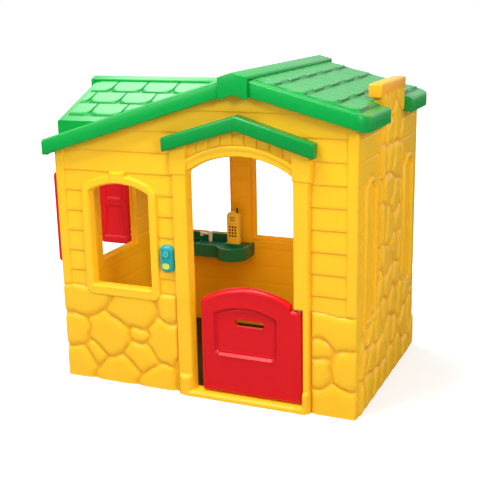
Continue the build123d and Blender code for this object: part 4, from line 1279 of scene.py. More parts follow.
@dataclass
class RightWall:
    """The right wall: blind arched panels each side of the stone chimney."""

    column: tuple = (246.5, 539.5)
    chimney_top: float = 1090.0
    panels: tuple = (135.45, 650.55)
    panel: tuple = (184.0, 282.0, 790.0, 850.0)
    bead: float = 20.0
    bead_half: float = 11.0
    flare_top: float = 430.0
    base_top: float = 262.0

    def stones(self) -> Stones:
        """Stones of the base and of the column."""
        return Stones(scattered_stones(10, 780, 0, 1120, 104, 112, 23), relief=13.5, shoulder=23.0)

    def region(self, y: Grid, z: Grid) -> Grid:
        """Distance into the stonework: the base, the column and the flare between them.

        Args:
            y, z: house millimetres.
        Returns:
            The distance, negative inside.
        """
        middle = HOUSE.depth / 2
        half = (self.column[1] - self.column[0]) / 2
        across = np.abs(y - middle) - half
        flare = across - np.clip((self.flare_top - z) * 0.9, 0, 500)
        return np.minimum(np.minimum(z - self.base_top - 9 * np.sin(y / 24), flare), across)

    def outer(self, y: Grid, z: Grid) -> Grid:
        """Relief of the outer face.

        Args:
            y, z: house millimetres.
        Returns:
            The relief.
        """
        region = self.region(y, z)
        ends = np.clip((HOUSE.depth / 2 - HOUSE.wall - np.abs(y - HOUSE.depth / 2)) / 12.0, 0, 1)
        height = boards(z) * 0.8
        for centre in self.panels:
            height = np.where(self.field(centre)(y, z) < 8, -3.0, height)
        stones = 1.5 + self.stones().height(y, z, region) * np.clip(0.25 + z / 26.0, 0, 1)
        return np.where(region < 0, stones, height) * ends

    def painted_groove_shade(self, y: Grid, z: Grid) -> Grid:
        """Painted shade: where the colour is deeper, in the stone joints and board joints, but not inside the
        blind panels.

        Args:
            y, z: house millimetres.
        Returns:
            Depth from 0 to 1.
        """
        region = self.region(y, z)
        joints = board_joint_shade(z)
        for centre in self.panels:
            joints = np.where(self.field(centre)(y, z) < 12, 0, joints)
        return 0.6 * np.where(region < 2, self.stones().depth(y, z, region), joints)

    def field(self, centre: float) -> Shape:
        """Outline of a blind panel's recessed field."""
        width, bottom, spring, apex = self.panel
        return arch_shape(centre, width - 2 * self.bead, bottom + self.bead, spring, apex - self.bead, 10)

    def build(self) -> None:
        """Makes the wall and its beaded panel frames."""
        low, high = HOUSE.wall + 0.4, HOUSE.depth - HOUSE.wall - 0.4
        shoulder = float(HOUSE.main_roof(np.array(HOUSE.width))) - HOUSE.roof_drop
        outside = box_shape(self.column[0], self.column[1], -50, self.chimney_top)

        def outline(u: Grid, v: Grid) -> Grid:
            """The wall's top line with the column rising through it."""
            return np.minimum(v - shoulder, outside(u, v))

        marks_y = around(self.column, (-3, -1, 0, 1, 3, 6))
        marks_y += around(self.panels, (-72, -74, 72, 74))
        sheet = Sheet(grid_lines([(low, high, 4.4)], marks_y),
                      grid_lines([(0.0, self.chimney_top, 5.0)], board_marks(280, 1090) + [shoulder]),
                      self.outer, wall_inside, placing(Face.RIGHT), outline=outline, painted_groove_shade=self.painted_groove_shade)
        settle(sheet.build("right_wall_panel", YELLOW), "house", "yellow_plastic", "right_wall")
        beads = []
        width, bottom, spring, apex = self.panel
        half = self.bead_half
        for number, centre in enumerate(self.panels):
            path = arch_path(centre, width - 2 * self.bead, bottom + self.bead, spring, apex - self.bead)
            section = [(half - half * math.cos(t), half * math.sin(t)) for t in np.linspace(0, math.pi, 15)]
            section = [(0.0, -6.0), *section[1:-1], (2 * half, -3.0)]
            beads.append(swept(f"bead_{number}", path, section, placing(Face.RIGHT), YELLOW_FLAT))
        settle(joined("blind_panel_beads", beads), "house", "yellow_plastic")


# ---- roof ----
RIM = [(2.6, 0, -0.5), (5.0, 0, -1.9), (6.9, 0, -4.1), (8.0, 0, -7.0), (8.0, 0, -47.0), (7.2, 0, -51.5),
       (4.5, 0, -54.0), (1.0, 0, -55.0), (-9.0, 0, -55.0), (-10.0, 0, -24.0)]


@dataclass
class RoofPanels:
    """The two roof mouldings with their shingles."""

    overhang: float = 38.0
    rim: float = 8.0
    corner: float = 50.0
    left_corner: float = 16.0
    notch: tuple = (1140.0, 242.5, 543.5)
    row_edges: tuple = (803.0, 878.0, 982.0, 1086.0, 1166.0)
    gable_rows: tuple = (120.0, 202.0, 282.0, 363.0)
    gable_joint: float = 134.0
    gable_stagger: float = 54.0
    first_joint: float = 75.0
    lip_gap: float = 31.0
    field_edge: float = 40.0
    notch_edge: float = 34.0
    pitch: float = 88.0

    @staticmethod
    def underside(u: Grid, v: Grid) -> Grid:
        """Depth of the moulding's lower face below its upper one."""
        return np.full(u.shape, -20.0)

    @staticmethod
    def rounded(radius: float, corners: Sequence[tuple]) -> Callable:
        """A warp that rounds square corners of the grid, each given with the way it points.

        Args:
            radius: that of the corners.
            corners: each corner's place and the way it points.
        Returns:
            A function that moves the grid's points.
        """

        def warp(u: Grid, v: Grid) -> tuple:
            """Maps each corner square to a quarter disc."""
            for cu, cv, su, sv in corners:
                au, av = (u - (cu - su * radius)) * su / radius, (v - (cv - sv * radius)) * sv / radius
                on = (au > 0) & (av > 0)
                du, dv = au[on] * np.sqrt(1 - av[on] ** 2 / 2), av[on] * np.sqrt(1 - au[on] ** 2 / 2)
                u[on] = cu - su * radius + du * radius * su
                v[on] = cv - sv * radius + dv * radius * sv
            return u, v

        return warp

    def right_relief(self, x: Grid, y: Grid) -> Grid:
        """Shingles on the right slope: staggered rows, each with a thick lower edge.

        Args:
            x, y: house millimetres.
        Returns:
            The relief.
        """
        edges = np.array(self.row_edges)
        row = np.clip(np.searchsorted(edges, x, side="right") - 1, 0, len(edges) - 2)
        start, end = edges[row], edges[row + 1]
        pitch = self.pitch
        shifted = y + row * pitch / 2 + 20
        along, number = np.mod(shifted, pitch), np.floor(shifted / pitch)
        stagger = np.where(np.mod(number, 2) == 0, 0.0, 9.0)
        share = np.clip((x - start) / (end - start), 0, 1)
        wedge = 1.0 + 6.4 * share
        past = x > end - stagger
        wedge = np.where(past & (stagger > 0), 0.6, wedge)
        joint = np.minimum(along, pitch - along)
        wedge = wedge + 1.7 * ridge(joint - 3.0, 2.2) - 1.8 * ridge(joint, 1.6)
        front, back = -self.overhang, HOUSE.depth + self.overhang
        field_shape = box_shape(HOUSE.ridge_x, edges[-1], front + self.field_edge, back - self.field_edge)
        notch = box_shape(self.notch[0] - self.notch_edge, 1400, self.notch[1] - self.notch_edge,
                          self.notch[2] + self.notch_edge)
        outside = np.maximum(field_shape(x, y), -notch(x, y))
        body = np.where(outside < 0, wedge + 1.8, 0)
        return np.where(np.abs(outside + 1.5) < 2.6, np.maximum(body, 4.6), body)

    def right_painted_shade(self, x: Grid, y: Grid) -> Grid:
        """Painted shade: deeper green under each row's edge.

        Args:
            x, y: house millimetres.
        Returns:
            Depth from 0 to 1.
        """
        edges = np.array(self.row_edges[1:])
        near = np.abs(x[..., None] - edges - 3.0).min(-1)
        border = self.field_edge - self.overhang
        return ridge(near, 5.0) * ((y > border) & (y < HOUSE.depth - border))

    def build_right(self) -> None:
        """The right slope with the square notch for the chimney."""
        h = HOUSE
        left, right = h.ridge_x + 0.4, h.width + self.overhang - self.rim
        front, back = -self.overhang + self.rim, h.depth + self.overhang - self.rim
        cut = box_shape(self.notch[0] - self.rim, 1500, self.notch[1] - self.rim, self.notch[2] + self.rim)

        def place(u: Grid, v: Grid, out: Grid) -> Grid:
            """Lays the sheet on the slope."""
            return h.place(u, v, h.main_roof(u) + out)

        joints = [k * self.pitch / 2 - 20 for k in range(-1, 21)]
        marks_v = around(joints, (-5, -2, 0, 2, 5)) + around([front], (14, 30, 32, 34))
        marks_v += around([back], (-14, -30, -32, -34))
        marks_v += [self.notch[1] - self.rim, self.notch[2] + self.rim, self.notch[1] - self.notch_edge,
                    self.notch[2] + self.notch_edge]
        marks_u = around(self.row_edges, (-10.0, -9.0, -4.0, -0.8, 0.0, 0.8, 4.0)) + [right - 14]
        marks_u += [self.notch[0] - self.rim, self.notch[0] - self.notch_edge]
        corners = [(right, front, 1, -1), (right, back, 1, 1)]
        sheet = Sheet(grid_lines([(left, right, 9.0)], marks_u), grid_lines([(front, back, 9.0)], marks_v),
                      self.right_relief, self.underside, place, holes=[cut], rim=RIM,
                      warp=self.rounded(self.corner - self.rim, corners), painted_groove_shade=self.right_painted_shade)
        settle(sheet.build("roof_right_panel", GREEN, 30), "house", "green_plastic", "roof_right")

    def left_base(self, x: Grid, y: Grid) -> Grid:
        """Top surface of the left moulding: the main slope with the cross gable standing on it.

        Args:
            x, y: house millimetres.
        Returns:
            The heights.
        """
        low, high = HOUSE.setback, HOUSE.depth - HOUSE.setback
        gable = np.where((y > low) & (y < high), HOUSE.cross_roof(y), 0)
        return np.maximum(HOUSE.main_roof(x), gable)

    def left_relief(self, x: Grid, y: Grid) -> Grid:
        """Shingles with rounded lower corners on the cross gable.

        Args:
            x, y: house millimetres.
        Returns:
            The relief.
        """
        middle = HOUSE.depth / 2
        down = middle - np.abs(y - middle)
        edges = np.array(self.gable_rows)
        row = np.clip(np.searchsorted(edges, down, side="right") - 1, 0, len(edges) - 2)
        bottom, top = edges[row], edges[row + 1]
        pitch = self.gable_joint
        along = np.mod(x - self.first_joint + np.where(row == 1, self.gable_stagger, 0.0), pitch)
        shingle = box_shape(2.5, pitch - 2.5, 3.0, 400.0, 26.0)(along, down - bottom)
        share = np.clip((top - down) / (top - bottom), 0, 1)
        wedge = (2.6 + 4.4 * share) * quarter_round(-shingle / 4.0)
        inside = (down > edges[0]) & (down < edges[-1] + 20) & (x > -self.overhang + 26)
        return np.where(inside & self.on_gable(x, y), wedge, 0)

    def on_gable(self, x: Grid, y: Grid) -> Grid:
        """Whether a point lies on the cross gable, clear of the valley.

        Args:
            x, y: house millimetres.
        Returns:
            A mask.
        """
        middle = HOUSE.depth / 2
        above = HOUSE.cross_roof(y) > HOUSE.main_roof(x) + 7.0
        return above & (np.abs(y - middle) < middle - HOUSE.setback)

    def left_outer(self, x: Grid, y: Grid) -> Grid:
        """Shingles, and the rounded lip along the rakes.

        Args:
            x, y: house millimetres.
        Returns:
            The relief.
        """
        rake = np.minimum(y, HOUSE.depth - y) + self.overhang
        edge = 4.0 * half_round(rake - 17.0, 9.0)
        gap = 3.0 * ridge(rake - self.lip_gap, 3.2)
        return self.left_relief(x, y) + edge - gap

    def left_painted_shade(self, x: Grid, y: Grid) -> Grid:
        """Painted shade: deeper green behind the rake's lip, round the shingles and at the foot of the
        risers.

        Args:
            x, y: house millimetres.
        Returns:
            Depth from 0 to 1.
        """
        rake = np.minimum(y, HOUSE.depth - y) + self.overhang
        ahead = (self.left_relief(x, y) < 1.2) & self.on_gable(x, y) & (x > -self.overhang + 26)
        rows = (rake > self.gable_rows[0] + self.overhang - 5) & (rake < self.gable_rows[-1] + self.overhang)
        return np.maximum(ridge(rake - self.lip_gap, 4.0), 0.55 * (ahead & rows))

    def build_left(self) -> None:
        """The left slope and the cross gable as one moulding."""
        h = HOUSE
        left, right = -self.overhang + self.rim, h.ridge_x - 0.4
        front, back = -self.overhang + self.rim, h.depth + self.overhang - self.rim

        def place(u: Grid, v: Grid, out: Grid) -> Grid:
            """Lays the sheet on the two slopes."""
            return h.place(u, v, self.left_base(u, v) + out)

        middle = h.depth / 2
        rows = [*self.gable_rows, *[h.depth - r for r in self.gable_rows], middle]
        marks_v = around(rows, (-5.0, -2.0, 0.0, 2.0, 5.0))
        marks_v += around((h.setback, h.depth - h.setback), (-3.0, -0.5, 0.0, 0.5, 3.0, 6.0))
        marks_v += around([front], (5, 13, 18, 23, 26)) + around([back], (-26, -23, -18, -13, -5))
        joints = [self.first_joint + k * self.gable_joint - shift for k in range(-1, 5)
                  for shift in (0.0, self.gable_stagger)]
        marks_u = around(joints, (-8, -4.5, -2, 0, 2, 4.5, 8)) + [left + 13, left + 22]
        corners = [(left, front, -1, -1), (left, back, -1, 1)]
        sheet = Sheet(grid_lines([(left, right, 6.0)], marks_u), grid_lines([(front, back, 6.0)], marks_v),
                      self.left_outer, self.underside, place, rim=RIM, painted_groove_shade=self.left_painted_shade,
                      warp=self.rounded(self.left_corner - self.rim, corners))
        settle(sheet.build("roof_left_panel", GREEN, 30), "house", "green_plastic", "roof_left")

    def build(self) -> None:
        """Makes both roof mouldings."""
        self.build_left()
        self.build_right()


@dataclass
class RoofTrim:
    """The ridge cap, the cross gable's ridge strip and the chimney's cap."""

    cap_half: float = 54.0
    cap_top: float = 14.0
    cap_reach: float = 50.0
    face_height: float = 76.0
    face_thickness: float = 11.6
    strip_half: float = 30.0

    def chevron(self, half: float, low: float, high: float) -> list:
        """Outline of a folded strip over the main ridge.

        Args:
            half: half its width.
            low, high: its two faces above the roof.
        Returns:
            Its points.
        """
        xs = (HOUSE.ridge_x - half, HOUSE.ridge_x, HOUSE.ridge_x + half)
        heights = [float(HOUSE.main_roof(np.array(x))) for x in xs]
        line = list(zip(xs, heights))
        return [(x, z + low) for x, z in line] + [(x, z + high) for x, z in reversed(line)]

    def build(self) -> None:
        """Makes the three caps."""
        place = placing(Face.FRONT)
        front, back = self.cap_reach, -(HOUSE.depth + self.cap_reach)
        body = self.chevron(self.cap_half, 0.4, self.cap_top)
        face = self.chevron(self.cap_half, self.cap_top - self.face_height, self.cap_top - 0.6)
        cap = plate("cap_body", body, back + 1, front - 1, place, GREEN, 6)
        ends = []
        for number, (low, high) in enumerate(((front - self.face_thickness, front),
                                              (back, back + self.face_thickness))):
            ends.append(plate(f"cap_end_{number}", face, low, high, place, GREEN, 4))
        settle(joined("ridge_cap_moulding", [cap, *ends]), "house", "green_plastic", "ridge_cap")
        self.build_strip()
        self.build_chimney_cap()

    def build_strip(self) -> None:
        """The lipped strip along the cross gable's ridge."""
        place = placing(Face.LEFT)
        middle = HOUSE.depth / 2
        half = self.strip_half
        side = float(HOUSE.cross_roof(np.array(middle - half)))
        line = [(middle - half, side), (middle, HOUSE.cross_ridge), (middle + half, side)]

        def fold(low: float, high: float) -> list:
            """Outline of the folded strip between two heights."""
            return [(y, z + low) for y, z in line] + [(y, z + high) for y, z in reversed(line)]

        rise = (HOUSE.ridge_z - HOUSE.left_eave) / HOUSE.ridge_x
        meet = HOUSE.ridge_x - (HOUSE.ridge_z - HOUSE.cross_ridge) / rise
        run = plate("strip_run", fold(0.4, 9.0), -meet + 6, 57.0, place, GREEN, 3)
        nose = plate("strip_nose", fold(-54.0, 8.4), 38.6, 58.0, place, GREEN, 5)
        settle(joined("cross_gable_strip", [run, nose]), "house", "green_plastic", "cross_gable_ridge_strip")

    def build_chimney_cap(self) -> None:
        """The slab over the chimney, with wide chamfers."""
        low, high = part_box("chimney_cap")
        outline = [(low.x, low.y), (high.x, low.y), (high.x, high.y), (low.x, high.y)]
        corners = [(x * 1000 - HOUSE.origin_x, y * 1000 - HOUSE.origin_y) for x, y in outline]
        slab = plate("chimney_slab", corners, low.z * 1000, high.z * 1000, HOUSE.place, YELLOW_CAP, 7, 3)
        settle(slab, "house", "yellow_plastic", "chimney_cap")


@dataclass
class Awning:
    """The gabled board over the doorway."""

    centre: float = 747.0
    half: float = 280.0
    apex: float = 1041.0
    end: float = 957.0
    drop: float = 52.0
    out: float = 44.4
    board_thickness: float = 17.0
    top_thickness: float = 15.0
    end_clearance: float = 0.8

    def build(self) -> None:
        """Makes the board, its rounded top and its soffit lip."""
        place = placing(Face.FRONT)
        left, right = self.centre - self.half, self.centre + self.half
        top = [(left, self.end), (self.centre, self.apex), (right, self.end)]
        outline = top + [(x, z - self.drop) for x, z in reversed(top)]
        inside = self.out - self.board_thickness
        board = plate("awning_board", outline, inside, self.out, place, GREEN_DARK, 8)
        short = [(x - self.end_clearance * np.sign(x - self.centre), z - 0.3) for x, z in top]
        inner = short + [(x, z - self.top_thickness) for x, z in reversed(short)]
        shelf = plate("awning_top", inner, 0.6, self.out - 4, place, GREEN_DARK, 2, 2)
        ends = []
        for side in (-1, 1):
            x = self.centre + side * (self.half - 5)
            low, high = self.end - self.drop + 3, self.end - 2.5
            outline = [(x - 5, low), (x + 3.6, low), (x + 3.6, high), (x - 5, high)]
            ends.append(plate(f"awning_end_{side + 1}", outline, 0.6, self.out - 5, place, GREEN_DARK, 2, 2))
        settle(joined("door_awning_moulding", [board, shelf, *ends]), "house", "green_plastic", "door_awning")


# ---- door and shutters ----
@dataclass
class HalfDoor:
    """The red half door with its recessed arched panel and grip slot."""

    free: float = 585.0
    axis: float = 961.0
    bottom: float = 26.0
    side: float = 364.0
    free_side: float = 346.0
    crown: float = 405.0
    front: float = 12.0
    thickness: float = 26.0
    panel_width: float = 238.0
    barrel: float = 12.6
    flat_end: float = 30.0
    slot: tuple = (773.0, 298.0, 112.0, 26.0)

    def crown_line(self, x: Grid) -> Grid:
        """Height of the leaf's curved top.

        Args:
            x: places along the leaf.
        Returns:
            The heights.
        """
        end = self.axis - self.flat_end
        a, b = np.array([self.free, self.free_side]), np.array([end, self.side])
        c = np.array([(self.free + end) / 2, self.crown])
        m = np.array([2 * (b - a), 2 * (c - a)])
        centre = np.linalg.solve(m, [b @ b - a @ a, c @ c - a @ a])
        radius = np.hypot(*(a - centre))
        arc = centre[1] + np.sqrt(np.maximum(radius ** 2 - (x - centre[0]) ** 2, 0))
        return self.bottom + np.where(x > end, self.side - 20, arc)

    def outline(self, x: Grid, z: Grid) -> Grid:
        """Distance to the leaf's edge."""
        body = box_shape(self.free, self.axis + self.barrel, self.bottom, 700, 7)
        return np.maximum(body(x, z), (z - self.crown_line(x)) * 0.97)

    def panel(self, x: Grid, z: Grid) -> Grid:
        """Distance to the recessed panel's outline.

        Args:
            x, z: house millimetres.
        Returns:
            The distance, negative inside.
        """
        centre = (self.free + self.axis) / 2 - 14
        low = self.bottom
        return arch_shape(centre, self.panel_width, low + 146, low + 304, low + 332, 22)(x, z)

    def grip(self) -> Shape:
        """The slot's outline."""
        cx, cz, width, height = self.slot
        return box_shape(cx - width / 2, cx + width / 2, cz - height / 2, cz + height / 2, height / 2 - 0.1)

    def outer(self, x: Grid, z: Grid) -> Grid:
        """Relief of the front face.

        Args:
            x, z: house millimetres.
        Returns:
            The relief.
        """
        edge = raised(self.outline(x, z), 12.0, 15.0) + self.front - 12.0
        inner = self.panel(x, z)
        recess = 11.5 * np.sin(np.clip(-inner / 8.0, 0, 1) * math.pi / 2)
        recess -= 2.4 * ridge(inner + 12.0, 3.0)
        rim = 2.8 * ridge(inner - 4.5, 4.5)
        rim += 1.6 * ridge(self.outline(x, z) + 17.0, 4.0)
        rim += 2.6 * ridge(self.grip()(x, z) - 4.0, 3.2)
        return edge - recess + np.where(edge > self.front - 2, rim * 0.6, 0)

    def inner(self, x: Grid, z: Grid) -> Grid:
        """Relief of the back face."""
        return -(self.thickness - self.front) + 4.0 - raised(self.outline(x, z), 4.0, 5.0)

    def build(self) -> None:
        """Makes the leaf as one moulding with its barrel edge."""
        free, low = self.free, self.bottom
        lines_x = grid_lines([(free, self.axis + self.barrel, 3.2)], [free + 1, free + 2.4, free + 5])
        lines_z = grid_lines([(low, low + self.crown, 3.2)], [low + 1, low + 2.4])
        # Painted shade: the red deepens along the recessed panel's outline.
        sheet = Sheet(lines_x, lines_z, self.outer, self.inner, placing(Face.FRONT), holes=[self.grip()],
                      outline=self.outline, painted_groove_shade=lambda u, v: 0.5 * ridge(self.panel(u, v), 3.0))
        settle(sheet.build("half_door", RED, 50), "door", "red_plastic", "door_leaf")


@dataclass
class Shutter:
    """A red shutter with two recessed fields, standing open at right angles to the wall."""

    name: str
    body: str
    y: float
    side: int
    outer_x: float = -172.0
    inner_x: float = -24.0
    bottom: float = 381.0
    height: float = 373.0
    half: float = 8.0
    pin_out: float = 14.0
    knuckle_radius: float = 9.0
    knuckle_zs: tuple = (434.0, 691.0)

    def outline(self, x: Grid, z: Grid) -> Grid:
        """Distance to the board's edge, its outer corners rounded."""
        return box_shape(self.outer_x, self.inner_x, self.bottom, self.bottom + self.height, 14)(x, z)

    def fields(self, x: Grid, z: Grid) -> Grid:
        """Distance to the nearer recessed field, waisted towards the middle.

        Args:
            x, z: house millimetres.
        Returns:
            The distance, negative inside.
        """
        centre = (self.outer_x + self.inner_x) / 2
        middle = self.bottom + self.height / 2
        reach = np.abs(z - middle)
        half = 34.0 + 22.0 * np.clip((reach - 10) / 150.0, 0, 1) ** 1.4
        across = np.abs(x - centre) - half
        along = np.abs(reach - 86.0) - 70.0
        return np.maximum(across, along)

    def face(self, x: Grid, z: Grid) -> Grid:
        """Relief of a decorated face.

        Args:
            x, z: house millimetres.
        Returns:
            The relief.
        """
        edge = raised(self.outline(x, z), 5.0, 6.0)
        inner = self.fields(x, z)
        return self.half - 5.0 + edge - 4.0 * np.clip(-inner / 4.0, 0, 1) + 1.2 * ridge(inner - 4, 3)

    def build(self) -> None:
        """Makes the board and its knuckles."""

        def place(u: Grid, v: Grid, out: Grid) -> Grid:
            """Lays the board across the wall's Y."""
            return HOUSE.place(u, self.y + self.side * out, v)

        sheet = Sheet(grid_lines([(self.outer_x, self.inner_x, 3.0)], [self.outer_x + 1, self.inner_x - 1]),
                      grid_lines([(self.bottom, self.bottom + self.height, 3.0)],
                                 [self.bottom + 1, self.bottom + self.height - 1]),
                      self.face, lambda u, v: -self.face(u, v), place, outline=self.outline)
        board = sheet.build(self.name + "_board", RED, 50)
        knuckles = [self.knuckle(z) for z in self.knuckle_zs]
        settle(joined(self.name + "_moulding", [board, *knuckles]), self.body, "red_plastic", self.name)

    def knuckle(self, z: float) -> Piece:
        """One hinge knuckle, with its arm to the board.

        Args:
            z: its underside.
        Returns:
            The knuckle.
        """
        nose = arc_points((-self.pin_out, 0.0), self.knuckle_radius, -60, 60, 9)
        outline = [(self.inner_x - 4, -7.0), *nose, (self.inner_x - 4, 7.0)]

        def flat(u: Grid, v: Grid, out: Grid) -> Grid:
            """Lays the outline level."""
            return HOUSE.place(u, self.y + v, z + out)

        return plate("knuckle", outline, 0.0, 10.0, flat, RED, 1.2, 2)


# ---- doorbell ----
@dataclass
class Doorbell:
    """The teal doorbell: its cover with a soft crown, a spiral button and a lime window."""

    x: float = 457.0
    z: float = 512.0
    width: float = 57.0
    height: float = 104.0
    corner: float = 22.0
    depth: float = 17.0
    button_up: float = 20.0
    lens_down: float = 26.0
    spiral_pitch: float = 5.6
    spiral_radius: float = 1.5

    def outline(self, x: Grid, z: Grid) -> Grid:
        """Distance to the cover's edge."""
        return box_shape(self.x - self.width / 2, self.x + self.width / 2, self.z - self.height / 2,
                         self.z + self.height / 2, self.corner)(x, z)

    def build(self) -> None:
        """Makes the cover, and the spiral and ring on the button."""
        hole = box_shape(self.x - 15.4, self.x + 15.4, self.z + 4.6, self.z + 35.4, 15.3)
        lens_z = self.z - self.lens_down
        lens = box_shape(self.x - 15, self.x + 15, lens_z - 11, lens_z + 11, 9)

        def outer(x: Grid, z: Grid) -> Grid:
            """Crowned face with a rim round the button and a dot above it."""
            crown = raised(self.outline(x, z), self.depth + 0.2, 13.0)
            ring = 1.8 * ridge(hole(x, z) - 2.6, 1.6)
            dot = 1.4 * np.exp(-(np.hypot(x - self.x, z - self.z - 43.0) / 2.6) ** 4)
            return crown + ring + dot

        lines_x = grid_lines([(self.x - self.width / 2, self.x + self.width / 2, 1.2)])
        lines_z = grid_lines([(self.z - self.height / 2, self.z + self.height / 2, 1.2)])
        sheet = Sheet(lines_x, lines_z, outer, lambda x, z: np.full(x.shape, 0.4), placing(Face.FRONT),
                      holes=[hole, lens], outline=self.outline)
        settle(sheet.build("doorbell_cover_moulding", TEAL, 45), "house", "teal_plastic", "doorbell_cover")
        self.spiral()

    def spiral(self) -> None:
        """A raised spiral on the button's face."""
        cx, cz = self.x, self.z + self.button_up
        turns = np.linspace(0.25, 2.1, 60)
        path = [(cx + self.spiral_pitch * t * math.cos(2 * math.pi * t),
                 cz + self.spiral_pitch * t * math.sin(2 * math.pi * t)) for t in turns]
        face = self.depth + 4.2
        section = [(self.spiral_radius * math.cos(a), face + self.spiral_radius * math.sin(a))
                   for a in np.linspace(0, 2 * math.pi, 9)[:-1]]
        place = placing(Face.FRONT)
        made = swept("doorbell_button_spiral", path, section, place, TEAL_PALE, closed=False, sharp=80)
        settle(made, "doorbell_button", "teal_plastic")


# ---- kitchen shelf and telephone ----
@dataclass
class Kitchen:
    """Rounded rims on the worktop, and the telephone's soft-cornered body."""

    left: float = 100.0
    top: float = 377.0
    wall_y: float = 762.0
    depth: float = 102.0
    lobe: tuple = (403.0, 686.0, 70.0)
    rim_inset: float = 5.0
    sink: tuple = (196.0, 710.6)
    sink_radius: float = 41.0
    cradle_shift: float = 6.0
    cradle_radii: tuple = (46.0, 34.0)

    def bead(self, name: str, path: Sequence[tuple], radius: float, height: float, closed: bool) -> Piece:
        """A rounded bead lying on the worktop along a path.

        Args:
            name: the piece's name.
            path: its middle line.
            radius, height: half its width, and how high it stands.
            closed: whether the path closes on itself.
        Returns:
            The object.
        """
        section = [(radius * math.cos(a), height * math.sin(a)) for a in np.linspace(0, math.pi, 9)]
        section += [(-radius, -1.5), (radius, -1.5)]

        def flat(u: Grid, v: Grid, out: Grid) -> Grid:
            """Lays the bead level on the worktop."""
            return HOUSE.place(u, v, self.top + out)

        return swept(name, path, section, flat, SHELF_RIM, closed=closed, sharp=80)

    def build(self) -> None:
        """Makes the rims and the handset."""
        cx, cy, lobe_radius = self.lobe
        left, radius = self.left + self.rim_inset, lobe_radius - self.rim_inset
        front, back = self.wall_y - self.depth + self.rim_inset, self.wall_y - 2
        meet = math.degrees(math.asin((front - cy) / radius))
        edge = [(left, back), (left, front), *arc_points((cx, cy), radius, 180 - meet, 360, 26),
                (cx + radius, back)]
        rim = self.bead("worktop_rim", edge, 5.0, 4.0, False)
        middle = (cx + self.cradle_shift, cy - self.cradle_shift)
        cradle = self.bead("cradle_rim", self.oval(middle, *self.cradle_radii), 3.5, 4.5, True)
        sink = self.bead("sink_rim", self.oval(self.sink, self.sink_radius, self.sink_radius), 4.0, 3.5, True)
        settle(joined("kitchen_rims", [rim, cradle, sink]), "house", "dark_green_plastic")
        self.handset()

    @staticmethod
    def oval(centre: tuple, across: float, deep: float) -> list:
        """Points round an oval, given its centre and its two radii.

        Args:
            centre: its middle.
            across, deep: its two radii.
        Returns:
            The points.
        """
        return [(centre[0] + across * math.cos(a), centre[1] + deep * math.sin(a))
                for a in np.linspace(0, 2 * math.pi, 40)[:-1]]

    def handset(self) -> None:
        """The telephone: a slab with a round top and soft edges."""
        low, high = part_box("phone_handset")
        x0, x1 = low.x * 1000 - HOUSE.origin_x, high.x * 1000 - HOUSE.origin_x
        y0, y1 = low.y * 1000 - HOUSE.origin_y, high.y * 1000 - HOUSE.origin_y
        z0, z1 = low.z * 1000, high.z * 1000
        r = 22.0
        outline = [(x0, z0), (x1, z0), *arc_points((x1 - r, z1 - r), r, 0, 90, 8),
                   *arc_points((x0 + r, z1 - r), r, 90, 180, 8)]
        place = placing(Face.FRONT)
        body = plate("telephone_body", outline, -y1, -y0, place, PHONE, 4.5, 3)
        left, right = (x0 + x1) / 2 - 11, (x0 + x1) / 2 + 11
        slots = []
        for number in range(3):
            z = z1 - 24 - 7 * number
            bar = [(left, z), (right, z), (right, z + 2.6), (left, z + 2.6)]
            slots.append(plate(f"earpiece_{number}", bar, -y0 - 1.0, -y0 + 0.6, place, KEYS, 0.5, 2))
        settle(body, "phone", "yellow_phone_plastic", "phone_handset")
        settle(joined("telephone_earpiece", slots), "phone", "black_plastic")


# ---- plain carried-over parts ----
NODE_FINISHES = {
    "wall_corner_pegs": GREY, "awning_screws": STEEL, "door_hinge_pins": GREY, "shutter_hinge_pins": GREY,
    "doorbell_box": GREY, "doorbell_circuit_board": BOARD, "doorbell_speaker": SPEAKER,
    "doorbell_cells": STEEL, "doorbell_button": TEAL, "doorbell_lens": LIME, "doorbell_spring": STEEL,
    "kitchen_shelf": SHELF, "kitchen_shelf_screws": STEEL, "kitchen_tap": TAP,
    "phone_keys": KEYS, "phone_antenna": KEYS,
}


def dress_nodes() -> None:
    """Gives each construction node that stays in view its finish and soft shading."""
    for name, finish in NODE_FINISHES.items():
        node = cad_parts[name]
        node.data.materials.clear()
        node.data.materials.append(finish.material())
        node.data.polygons.foreach_set("use_smooth", [True] * len(node.data.polygons))
        node.data.set_sharp_from_angle(angle=math.radians(35))
        log.info("%s dressed as %s", name, finish.name)


# ---- studio ----
def added(name: str, data: bpy.types.ID) -> Piece:
    """A new object in the scene with the given data.

    Args:
        name: its name.
        data: its mesh, lamp or camera.
    Returns:
        The object.
    """
    obj = bpy.data.objects.new(name, data)
    bpy.context.scene.collection.objects.link(obj)
    return obj


@dataclass(frozen=True)
class Lamp:
    """A square white area lamp that looks at a target; metres and watts."""

    name: str
    place: tuple
    target: tuple
    size: float
    power: float

    def build(self) -> None:
        """Adds the lamp to the scene."""
        data = bpy.data.lights.new(self.name, "AREA")
        data.size = self.size
        data.energy = self.power
        obj = added(self.name, data)
        obj.location = self.place
        ahead = Vector(self.target) - Vector(self.place)
        obj.rotation_euler = ahead.to_track_quat("-Z", "Y").to_euler()


LAMPS = (
    Lamp("overhead", (-0.5, -1.4, 3.8), (0, 0, 0.5), 1.4, 108),
    Lamp("front_left", (-2.2, -3.8, 2.6), (0, 0, 0.6), 1.5, 62),
    Lamp("front_right", (3.5, -3.0, 2.7), (0.3, 0, 0.5), 1.3, 106),
    Lamp("rear_left", (-1.9, 2.1, 4.0), (0, 0.1, 1.0), 1.7, 52),
)


